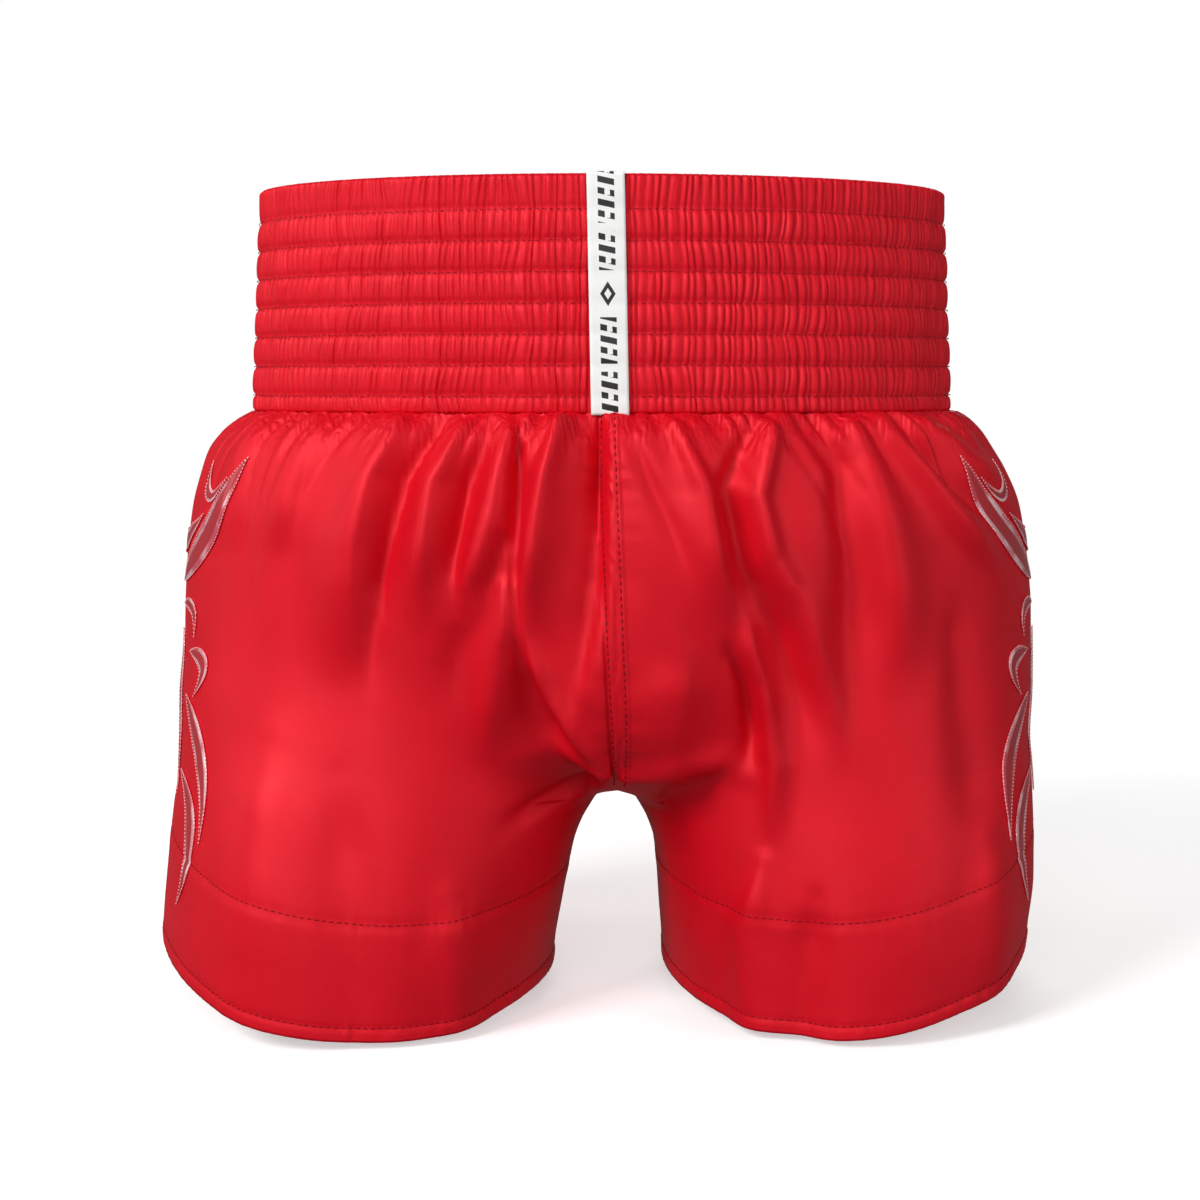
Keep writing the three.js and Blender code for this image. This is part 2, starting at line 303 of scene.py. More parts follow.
@dataclass(frozen=True)
class Satin:
    """Red polyester satin: a warm sheen over a fine diagonal weave."""

    name: str = "satin_red_weave"
    tone: Tone = Tone(226, 10, 33)
    deep: Tone = Tone(214, 6, 29)
    roughness: float = 0.49
    metallic: float = 0.18
    glint: Tone = Tone(255, 196, 202)
    weave_mm: float = 0.55
    mottle_scale: float = 38.0
    fibre_scale: float = 900.0
    crease_scale: float = 210.0
    crease_stretch: float = 0.14
    specular: float = 0.45
    weave_share: float = 0.06
    crease_depth: float = 8.0
    crease_reach: float = 0.02
    crease_fade: float = 0.018
    band_foot: float = 0.098
    band_calm: float = 0.6

    def build(self) -> bpy.types.Material:
        """Make the material."""
        s = Shader(self.name)
        where = s.place()
        x, y, z = s.axes(where)
        turn = 2 * math.pi / (self.weave_mm * MM)
        twill = ((x + y) * turn + z * (turn * 0.8)).sine() * ((x + y) * (-turn * 0.6) + z * turn).sine()
        mottle = s.noise(self.mottle_scale, 3.0, where)
        fine = s.noise(self.fibre_scale, 2.0, where)
        drawn = s.stretched(where, self.crease_stretch)
        crease = abs(s.noise(self.crease_scale, 1.0, drawn) - 0.5) * self.near_band(z)
        colour = s.blend(mottle * 1.6 - 0.3, self.deep.rgba(), self.tone.rgba())
        rough = self.roughness - 0.05 + mottle * 0.08 + fine * 0.04
        return s.finish(
            {
                "Base Color": colour,
                "Roughness": rough,
                "Metallic": self.metallic,
                "Specular IOR Level": self.specular,
                "Specular Tint": self.glint.rgba(),
            },
            bump=(twill * 0.5 + fine * 0.9) * self.weave_share + crease * self.crease_depth,
            strength=0.4,
            depth=0.001,
        )

    def near_band(self, z: Wire) -> Wire:
        """A share on the waistband, 1 just under its lower edge, fading to 0 below."""
        under = ((z + (self.band_foot + self.crease_reach)) * (1 / self.crease_fade)).clamped()
        return under * (1.0 - (z > -self.band_foot) * self.band_calm)


@dataclass(frozen=True)
class PrintedTape:
    """White woven label with a plain pattern of black bars and a diamond."""

    name: str = "label_tape_print"
    ground: Tone = Tone(244, 244, 242)
    ink: Tone = Tone(22, 20, 22)
    bar_mm: float = 4.6
    middle_mm: float = 49.0

    def build(self) -> bpy.types.Material:
        """Make the material."""
        s = Shader(self.name)
        x, z = (part * 1000.0 for part in s.axes(s.map("tape"))[:2])
        slant = z + x * 0.22
        cell = slant.modulo(self.bar_mm)
        thick = (cell < self.bar_mm * 0.56) * (abs(x) < 3.4)
        slot = (abs(x - 0.5) < 1.1) * ((z * 0.5).modulo(self.bar_mm) < self.bar_mm * 0.45)
        clear = (abs(z + self.middle_mm) > 9.5) * (abs(z + 22.0) > 1.6) * (abs(z + 79.0) > 1.6)
        bars = thick * (1.0 - slot) * clear
        diamond = (abs(x) / 3.2 + abs(z + self.middle_mm) / 5.0) < 1.0
        inner = (abs(x) / 1.5 + abs(z + self.middle_mm) / 2.3) < 1.0
        ink = (bars + diamond * (1.0 - inner)).low(1.0)
        weave = (x * 14.0).sine() * (z * 14.0).sine()
        colour = s.blend(ink, self.ground.rgba(), self.ink.rgba())
        return s.finish(
            {"Base Color": colour, "Roughness": 0.62 - ink * 0.12, "Sheen Weight": 0.05},
            bump=weave * 0.4 + ink * 0.5,
            strength=0.15,
            depth=0.0001,
        )


@dataclass(frozen=True)
class Foil:
    """Pink silver foil sheet with a clear gloss and a duller stitched-down middle; its colour carries pale
    painted reflection streaks along a crinkle noise.
    """

    name: str = "foil_film"
    # Pale tone of the painted reflection streaks; shade is the darker tone between them.
    bright: Tone = Tone(250, 214, 220)
    shade: Tone = Tone(214, 78, 94)
    core: Tone = Tone(182, 34, 44)

    def build(self) -> bpy.types.Material:
        """Make the material."""
        s = Shader(self.name)
        across = abs(s.axes(s.map("blade"))[0])
        crease = s.noise(60.0, 3.0)
        # Painted reflection: the colour runs from the shade tone to pale bright streaks along the crinkle
        # noise.
        film_and_painted_glints = s.blend(crease * 5.0 - 2.2, self.shade.rgba(), self.bright.rgba())
        middle = ((0.62 - across) * 8.0).clamped()
        colour = s.blend(middle, film_and_painted_glints, self.core.rgba())
        return s.finish(
            {
                "Base Color": colour,
                "Roughness": 0.2 + middle * 0.2 + crease * 0.06,
                "Metallic": 0.12,
                "Coat Weight": 1.0 - middle * 0.65,
                "Coat Roughness": 0.06,
            },
            bump=crease,
            strength=0.35,
            depth=0.0008,
        )


@dataclass(frozen=True)
class Thread:
    """Sewing thread with a faint twist."""

    name: str
    tone: Tone
    roughness: float = 0.55
    metallic: float = 0.0

    def build(self) -> bpy.types.Material:
        """Make the material."""
        s = Shader(self.name)
        twist = s.noise(2600.0, 1.0)
        light = tuple(min(1.0, c * 1.25) for c in self.tone.rgba()[:3]) + (1.0,)
        colour = s.blend(twist, self.tone.rgba(), light)
        values = {
            "Base Color": colour,
            "Roughness": self.roughness,
            "Metallic": self.metallic,
            "Specular IOR Level": 0.2,
        }
        return s.finish(values, bump=twist, strength=0.2, depth=0.0001)


@dataclass(frozen=True)
class Webbing:
    """White ribbed elastic, with painted shade darkening its grooves."""

    name: str = "elastic_webbing"
    tone: Tone = Tone(235, 232, 226)
    groove_shade: Tone = Tone(205, 200, 192)
    rib_mm: float = 1.1

    def build(self) -> bpy.types.Material:
        """Make the material."""
        s = Shader(self.name)
        height = s.axes(s.place())[2]
        rib = (height * (2 * math.pi / (self.rib_mm * MM))).sine() * 0.5 + 0.5
        # Painted shade: the colour darkens into the grooves between the ribs.
        colour = s.blend(rib, self.groove_shade.rgba(), self.tone.rgba())
        return s.finish({"Base Color": colour, "Roughness": 0.8}, bump=rib, strength=0.4, depth=0.0002)


@dataclass(frozen=True)
class PaleFloor:
    """Floor that takes the soft shadow near the shorts and turns plain white further out."""

    name: str = "floor_pale"
    near_m: float = 0.45
    far_m: float = 1.0
    albedo: float = 0.8
    glow: float = 0.5

    def build(self) -> bpy.types.Material:
        """Make the material."""
        s = Shader(self.name)
        x, y, _ = s.axes(s.place())
        square = x * x + y * y
        away = ((square - self.near_m**2) / (self.far_m**2 - self.near_m**2)).clamped()
        base = s.blend(away, (self.albedo,) * 3 + (1.0,), (0.0, 0.0, 0.0, 1.0))
        glow = s.blend(away, (self.glow,) * 3 + (1.0,), (1.0, 1.0, 1.0, 1.0))
        values = {
            "Base Color": base, "Roughness": 0.9, "Specular IOR Level": 0.0,
            "Emission Color": glow, "Emission Strength": 1.0,
        }
        return s.finish(values)


@dataclass(frozen=True)
class WhiteSurround:
    """Plain white wall."""

    name: str = "surround_white"

    def build(self) -> bpy.types.Material:
        """Make the material."""
        s = Shader(self.name)
        s.node_out(s.node("ShaderNodeEmission", None, {"Color": (1.0, 1.0, 1.0, 1.0), "Strength": 1.0}))
        return s.material


class Wardrobe:
    """Finishes built once and shared by the pieces."""

    def __init__(self) -> None:
        """Build every finish."""
        self.satin = Satin().build()
        self.facing = Satin("satin_reverse", Tone(196, 12, 34), Tone(170, 6, 26), 0.6, 0.05).build()
        self.label = PrintedTape().build()
        self.foil = Foil().build()
        # Red stitch thread darkened far below the satin's red: its tone carries painted shade for the needle
        # holes along the stitch lines.
        self.red_thread = Thread("thread_red", Tone(128, 3, 20)).build()
        self.bright_thread = Thread("thread_metallic", Tone(255, 164, 166), 0.4, 0.15).build()
        self.elastic = Webbing().build()


# Meshes


def mesh_object(
    name: str, points: Array, faces: Sequence[Sequence[int]], material: bpy.types.Material
) -> bpy.types.Object:
    """Make a smooth-shaded mesh object from points in millimetres.

    Args:
        name: Object name.
        points: Vertices, one row each.
        faces: Vertex indices of each face.
        material: Finish of the whole mesh.

    Returns:
        The new object, linked to the scene.
    """
    mesh = bpy.data.meshes.new(name)
    mesh.from_pydata((np.asarray(points, float) * MM).tolist(), [], [list(f) for f in faces])
    mesh.validate()
    mesh.polygons.foreach_set("use_smooth", [True] * len(mesh.polygons))
    mesh.materials.append(material)
    piece = bpy.data.objects.new(name, mesh)
    bpy.context.scene.collection.objects.link(piece)
    return piece


def report(piece: bpy.types.Object) -> bpy.types.Object:
    """Log a finished piece and hand it back."""
    LOG.info("%s: %d faces", piece.name, len(piece.data.polygons))
    return piece


def stand_in(piece: bpy.types.Object, node: str) -> bpy.types.Object:
    """Attach a piece that stands for one CAD node of the garment to the root body, hide that node and report
    the piece.

    Args:
        piece: The finished piece.
        node: The CAD node that it replaces.

    Returns:
        The same piece.
    """
    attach(piece, "root")
    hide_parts(node)
    return report(piece)


def grid_faces(rows: int, cols: int, flip: bool = False, wrap: bool = False, down: bool = False) -> Faces:
    """Quads over a grid of points, row by row.

    Args:
        rows: Rows of points.
        cols: Points in each row.
        flip: Turn every face over.
        wrap: Close each row on itself.
        down: Go down the column first instead of along the row.

    Returns:
        Four vertex indices for each face.
    """
    made = []
    for r in range(rows - 1):
        for c in range(cols if wrap else cols - 1):
            d = (c + 1) % cols
            here, below = (r * cols + c, r * cols + d), ((r + 1) * cols + c, (r + 1) * cols + d)
            cell = (here[0], below[0], below[1], here[1]) if down else (*here, below[1], below[0])
            made.append(cell[::-1] if flip else cell)
    return made


def closed_shell(outer: Array, inner: Array, faces: Faces) -> tuple[Array, Faces]:
    """Join an outer skin to an inner one along every free edge.

    Args:
        outer: Points of the outer skin.
        inner: The matching points of the inner skin.
        faces: Faces of the outer skin, pointing out.

    Returns:
        All points, and all faces of the closed shell.
    """
    count = len(outer)
    edges = {(f[k], f[(k + 1) % len(f)]) for f in faces for k in range(len(f))}
    back = [tuple(v + count for v in reversed(f)) for f in faces]
    walls = [(b, a, a + count, b + count) for a, b in edges if (b, a) not in edges]
    return np.vstack([outer, inner]), faces + back + walls


def uv_from_points(piece: bpy.types.Object, layer: str, coords: Array) -> None:
    """Give a mesh a UV map.

    Args:
        piece: The mesh object.
        layer: Name of the map.
        coords: One coordinate pair for each vertex.
    """
    mesh = piece.data
    uv = mesh.uv_layers.new(name=layer)
    loops = np.empty(len(mesh.loops), dtype=np.int32)
    mesh.loops.foreach_get("vertex_index", loops)
    uv.data.foreach_set("uv", coords[loops].astype(np.float32).ravel())


# The body of the shorts


@dataclass(frozen=True)
class BandForm:
    """Sizes of the waistband, in millimetres, from the rim at z = 0 down."""

    half_width: float = 155.0
    half_depth: float = 105.0
    height: float = 98.0
    flare_width: float = 5.0
    flare_depth: float = 2.0
    first_channel: float = 14.5
    channel: float = 12.7
    channels: int = 7
    depth: float = 5.2

    def row(self, k: int) -> float:
        """Height of stitch row k; row 0 is the rim."""
        return 0.0 if k == 0 else -(self.first_channel + self.channel * (k - 1))

    def rows(self) -> Array:
        """All row heights and the bottom edge, from the rim down."""
        return np.array([self.row(k) for k in range(self.channels + 1)] + [-self.height])

    def place_in_row(self, z: float) -> tuple[int, float]:
        """Which channel a height falls in, and how far down it."""
        rows = self.rows()
        k = int(np.clip(np.searchsorted(-rows, -z, side="right") - 1, 0, len(rows) - 2))
        return k, float(np.clip((z - rows[k]) / (rows[k + 1] - rows[k]), 0.0, 1.0))

    def point(self, angle: Array, z: Array, out: Array | float) -> Array:
        """Points of the band.

        Args:
            angle: Angle round the waist, 0 at the +X side.
            z: Heights.
            out: Distance out from the outer face.

        Returns:
            Points, with the shape of the arguments.
        """
        down = np.clip(-np.asarray(z, float) / self.height, 0.0, 1.0)
        x = (self.half_width + self.flare_width * down + out) * np.cos(angle)
        y = (self.half_depth + self.flare_depth * down + out) * np.sin(angle)
        return np.stack(np.broadcast_arrays(x, y, z), axis=-1)

    def angle_at(self, share: Array) -> Array:
        """Angle at an equal-arc share of the way round, starting and ending at centre back."""
        steps = np.linspace(0.0, 2 * math.pi, 1441) - math.pi / 2
        ring = self.point(steps, np.full_like(steps, -50.0), 0.0)
        arc = np.concatenate([[0.0], np.cumsum(np.linalg.norm(np.diff(ring, axis=0), axis=1))])
        return np.interp(share, arc / arc[-1], steps)


@dataclass(frozen=True)
class LegForm:
    """Smooth shape of one leg of the shorts before its folds, in millimetres."""

    hem_z: float = -360.0
    hip_z: float = -170.0
    crotch_z: float = -267.0
    seat_power: float = 3.0
    leg_depth: float = 115.0
    leg_centre_y: float = -4.0
    side_rise: float = 24.0
    inseam_rise: float = 7.0
    seam_drift: Stations = ((-105.0, 0.0), (-180.0, 2.2), (-262.0, 5.5), (-300.0, 5.5), (-360.0, 3.0))
    width_left: Stations = (
        (-97.0, 158.0), (-99.6, 161.0), (-103.0, 166.8), (-108.0, 173.4), (-115.0, 179.0), (-125.0, 182.8),
        (-140.0, 187.0), (-155.0, 189.2), (-170.0, 190.8), (-187.0, 191.8), (-202.0, 192.4), (-226.0, 194.6),
        (-254.0, 195.2), (-281.0, 196.0), (-302.0, 198.4), (-326.0, 201.2), (-360.0, 204.0),
    )
    width_right: Stations = (
        (-97.0, 159.0), (-99.6, 163.0), (-103.0, 167.8), (-108.0, 173.0), (-115.0, 178.0), (-125.0, 184.4),
        (-140.0, 191.0), (-155.0, 194.0), (-170.0, 196.2), (-187.0, 197.6), (-221.0, 198.0), (-255.0, 196.8),
        (-272.0, 197.6), (-290.0, 198.4), (-331.0, 199.4), (-360.0, 196.5),
    )
    back: Stations = ((-97.0, 105.5), (-99.6, 106.5), (-103.0, 110.0), (-108.0, 113.5), (-125.0, 118.0),
                   (-155.0, 121.5), (-271.0, 121.5))
    front: Stations = ((-97.0, 105.5), (-99.6, 106.0), (-103.0, 107.5), (-125.0, 109.5), (-170.0, 110.0),
                    (-271.0, 108.0))
    gap: Stations = ((-267.0, 0.0), (-270.0, 5.5), (-276.0, 10.0), (-284.0, 14.0), (-304.0, 19.0),
                  (-330.0, 22.5), (-360.0, 25.5))
    gap_soft: Stations = ((-215.0, 0.0), (-255.0, 3.0), (-300.0, 12.0), (-330.0, 18.0), (-360.0, 23.0))

    def point(self, side: Side, u: Array, z: Array) -> Array:
        """Points of the panel's face.

        Args:
            side: Which leg.
            u: 0 at centre back, 0.5 at the side, 1 at centre front; a little beyond runs under the other.
            z: Heights.

        Returns:
            Points, with the same leading shape as u.
        """
        reach = np.clip(np.where(u > 0.5, 1 - u, u), None, 0.5)
        over = reach < 0
        mirrored = np.where(over, -1.0, 1.0)
        reach = np.abs(reach)
        v = np.where(u > 0.5, 1 - reach, reach)
        turn = math.pi * v
        width = profile(self.width_left if side is Side.LEFT else self.width_right, z)
        depth = np.where(v < 0.5, profile(self.back, z), profile(self.front, z))
        drop = np.clip((self.hip_z - z) / (self.hip_z - self.crotch_z), 0.0, 1.0)
        seat = 1 - (1 - drop**self.seat_power) ** (1 / self.seat_power)
        flank = smooth(-150.0, -330.0, z)
        from_seam = smooth(0.0, 0.18, reach)
        leg = seat + (smooth(-212.0, -300.0, z) - seat) * smooth(0.0, 0.07, reach) * smooth(-240.0, -262.0, z)
        leg = leg + (flank - leg) * from_seam
        gap = profile(self.gap, z)
        gap = gap + (profile(self.gap_soft, z) - gap) * smooth(0.0, 0.11, reach)
        centre = (width + gap) / 2
        x = (1 - leg) * width * np.sin(turn) + leg * (centre - (width - gap) / 2 * np.cos(2 * turn))
        y = -(1 - leg) * depth * np.cos(turn) + leg * (
            self.leg_centre_y * from_seam - self.leg_depth * np.sin(2 * turn)
        )
        x = side.value * mirrored * x
        x = x + profile(self.seam_drift, z) * np.exp(-((x / 70.0) ** 2))
        return np.stack(np.broadcast_arrays(x, y, z + self.hem_rise(u, z)), axis=-1)

    def hem_rise(self, u: Array, z: Array) -> Array:
        """How far the curved hem lifts each place: most at the side, a little at the inseam."""
        w = np.minimum(np.abs(u), np.abs(1 - u))
        outer = self.side_rise * smooth(0.21, 0.5, w) * (1 - smooth(-305.0, -215.0, z))
        return outer + self.inseam_rise * (1 - smooth(0.04, 0.2, w)) * (1 - smooth(-308.0, -272.0, z))


@dataclass(frozen=True)
class Fold:
    """One fold in the cloth.

    Attributes:
        path: (x, z) places down its line.
        left: How far it spreads on its left, mm.
        right: How far it spreads on its right, mm.
        rise: Height out of the cloth; negative for a valley.
        sharp: Power of its flank; 2 is round, 1 is a crease.
        start: Share of the rise at its beginning.
        end: Share of the rise at its end.
    """

    path: tuple[tuple[float, float], ...]
    left: float
    right: float
    rise: float
    sharp: float = 2.0
    start: float = 0.6
    end: float = 0.0

    def height(self, x: Array, z: Array) -> Array:
        """Height of the fold over the cloth.

        Args:
            x: Places across, on the back or mirrored from the front.
            z: Heights.

        Returns:
            The height at each place.
        """
        points = np.array(self.path, float)
        spans = np.linalg.norm(np.diff(points, axis=0), axis=1)
        reach = np.concatenate([[0.0], np.cumsum(spans)])
        best = np.full(x.shape, 1e9)
        along = np.zeros(x.shape)
        hand = np.zeros(x.shape)
        for k, (a, b) in enumerate(zip(points[:-1], points[1:])):
            step = b - a
            t = np.clip(((x - a[0]) * step[0] + (z - a[1]) * step[1]) / (step @ step), 0.0, 1.0)
            dx = x - a[0] - t * step[0]
            dz = z - a[1] - t * step[1]
            far = np.hypot(dx, dz)
            near = far < best
            best = np.where(near, far, best)
            along = np.where(near, (reach[k] + t * spans[k]) / reach[-1], along)
            hand = np.where(near, dx, hand)
        spread = np.where(hand < 0, self.left, self.right)
        spread = spread * (0.55 + 0.45 * smooth(0.0, 0.5, along))
        rise = self.start + (1 - self.start) * smooth(0.0, 0.3, along)
        rise = rise * (self.end + (1 - self.end) * (1 - smooth(0.55, 1.0, along)))
        return self.rise * rise * np.exp(-((best / spread) ** self.sharp))


BACK_FOLDS: tuple[Fold, ...] = (
    Fold(((-150, -104), (-160, -130), (-168, -160)), 8, 10, 1.6),
    Fold(((-120, -103), (-133, -130), (-142, -160)), 10, 9, 2.0),
    Fold(((-84, -102), (-96, -124), (-103, -152), (-108, -215)), 14, 6, 5.5),
    Fold(((-71, -102), (-84, -124), (-92, -150), (-99, -185), (-101, -224)), 4, 5, -4.0, 1.4, 0.8, 0.1),
    Fold(((-59, -102), (-71, -126), (-76, -158), (-80, -190)), 6, 5, 4.5),
    Fold(((-48, -102), (-58, -126), (-64, -156), (-66, -185)), 5, 6, -4.5, 1.6),
    Fold(((-40, -104), (-46, -133), (-54, -160), (-60, -195)), 6, 6, 4.5),
    Fold(((-44, -150), (-52, -172), (-61, -195), (-65, -228)), 8, 7, -3.0),
    Fold(((-41, -170), (-46, -207), (-50, -248)), 8, 8, 4.0),
    Fold(((-37, -101), (-37, -130), (-38, -163), (-39, -205)), 2.2, 3.0, -3.8, 1.2, 0.9, 0.1),
    Fold(((-20, -102), (-26, -122), (-32, -156), (-35, -195)), 5, 8, 6.0, 1.8, 0.8),
    Fold(((-3, -102), (-4, -130), (-6, -170), (-13, -205), (-22, -230)), 14, 4, -6.0, 1.8, 0.9, 0.1),
    Fold(((8, -103), (16, -124), (26, -146), (36, -170)), 3, 4, -1.6),
    Fold(((-35, -185), (-25, -214), (-13, -233), (-1, -247)), 4, 3.5, 4.0, 1.6, 0.3, 0.6),
    Fold(((-38, -196), (-30, -223), (-19, -242), (-8, -252)), 10, 7, -5.0, 2.0, 0.4, 0.6),
    Fold(((28, -103), (39, -127), (45, -160), (52, -190)), 10, 4, 4.5),
    Fold(((57, -106), (48, -127), (56, -159), (71, -188), (80, -216), (88, -250)), 6, 9, -5.5),
    Fold(((68, -104), (61, -132), (66, -158), (82, -186), (94, -222), (98, -255)), 8, 7, 4.5),
    Fold(((81, -102), (97, -121), (103, -154), (104, -200), (108, -240)), 9, 11, -4.5),
    Fold(((103, -103), (114, -142), (122, -180), (127, -220)), 8, 13, 4.0),
    Fold(((57, -190), (65, -215), (71, -245), (69, -284)), 5, 5, 4.5),
    Fold(((49, -196), (58, -211), (61, -232), (56, -252)), 4.5, 4.5, -4.0),
    Fold(((112, -101), (137, -128), (183, -180)), 6, 6, 4.0),
    Fold(((122, -101), (151, -130), (186, -156)), 5, 5, -3.0),
    Fold(((136, -102), (160, -120), (184, -136)), 5, 5, 2.5),
    Fold(((150, -190), (158, -240), (160, -300)), 12, 12, -2.5),
    Fold(((8, -249), (28, -245), (47, -243), (60, -250)), 6, 6, 2.8, 2.0, 0.9, 0.2),
    Fold(((-1, -248), (-9, -247), (-24, -238)), 4, 4, 3.0, 2.0, 0.9, 0.2),
    Fold(((31, -196), (27, -225), (25, -252)), 18, 9, 3.0, 2.0, 0.3, 0.7),
    Fold(((32, -276), (31, -300), (29, -334)), 5, 6, -3.5, 2.0, 0.5, 0.4),
    Fold(((-6, -258), (-28, -267), (-46, -276)), 5, 5, -3.5, 2.0, 0.7, 0.1),
    Fold(((-140, -235), (-148, -290), (-150, -360)), 18, 18, 3.0, 2.0, 0.2, 0.8),
    Fold(((-112, -250), (-108, -300), (-104, -360)), 16, 16, -2.5, 2.0, 0.2, 0.8),
    Fold(((-68, -300), (-64, -330), (-62, -360)), 10, 12, 2.5, 2.0, 0.3, 0.9),
    Fold(((86, -300), (82, -330), (80, -360)), 8, 9, -2.5, 2.0, 0.3, 0.9),
    Fold(((66, -285), (60, -318), (62, -360)), 7, 7, 3.0, 2.0, 0.3, 0.9),
    Fold(((164, -290), (168, -330), (166, -360)), 12, 12, 2.5, 2.0, 0.3, 0.9),
)


@dataclass(frozen=True)
class GatherSet:
    """Small folds that leave the waistband and die out down the cloth.

    Attributes:
        count: How many lie across one panel.
        rise: Height of the fullest one.
        reach: How far down a middling one runs.
        fan: How far its line drifts outwards, in shares of the panel for each 100 mm.
        seed: Seed of its irregularity.
        sharp: Power of each fold's flank; under 1 leaves narrow creases between full folds.
    """

    count: int
    rise: float
    reach: float
    fan: float
    seed: int
    sharp: float = 0.8

    def lines(self) -> Array:
        """Where the creases between the folds start, as shares of the way across."""
        rng = np.random.default_rng(self.seed)
        lines = (np.arange(self.count + 1) + rng.uniform(-0.36, 0.36, self.count + 1)) / self.count
        lines[0], lines[-1] = -0.02, 1.02
        return lines

    def height(self, u: Array, z: Array) -> Array:
        """Height over one panel.

        Args:
            u: Share of the way across the panel.
            z: Heights.

        Returns:
            The height at each place.
        """
        rng = np.random.default_rng(self.seed + 400)
        lines = self.lines()
        slant = rng.uniform(-0.35, 0.35, self.count + 1) * self.fan
        down = np.clip(-98.0 - z, 0.0, None)
        moved = u - (0.5 - u) * self.fan * down / 100.0
        shift = np.interp(moved, lines, slant) * down / 100.0
        phase = np.interp(moved - shift, lines, np.arange(self.count + 1))
        cell = np.clip(np.floor(phase).astype(int), 0, self.count - 1)
        size = rng.uniform(0.4, 1.0, self.count)[cell]
        reach = self.reach * rng.uniform(0.6, 1.7, self.count)[cell]
        fade = np.exp(-((down / reach) ** 1.6)) * (0.8 + 0.2 * smooth(0.0, 4.0, down))
        return self.rise * size * fade * (np.abs(np.sin(math.pi * phase)) ** self.sharp - 0.6)


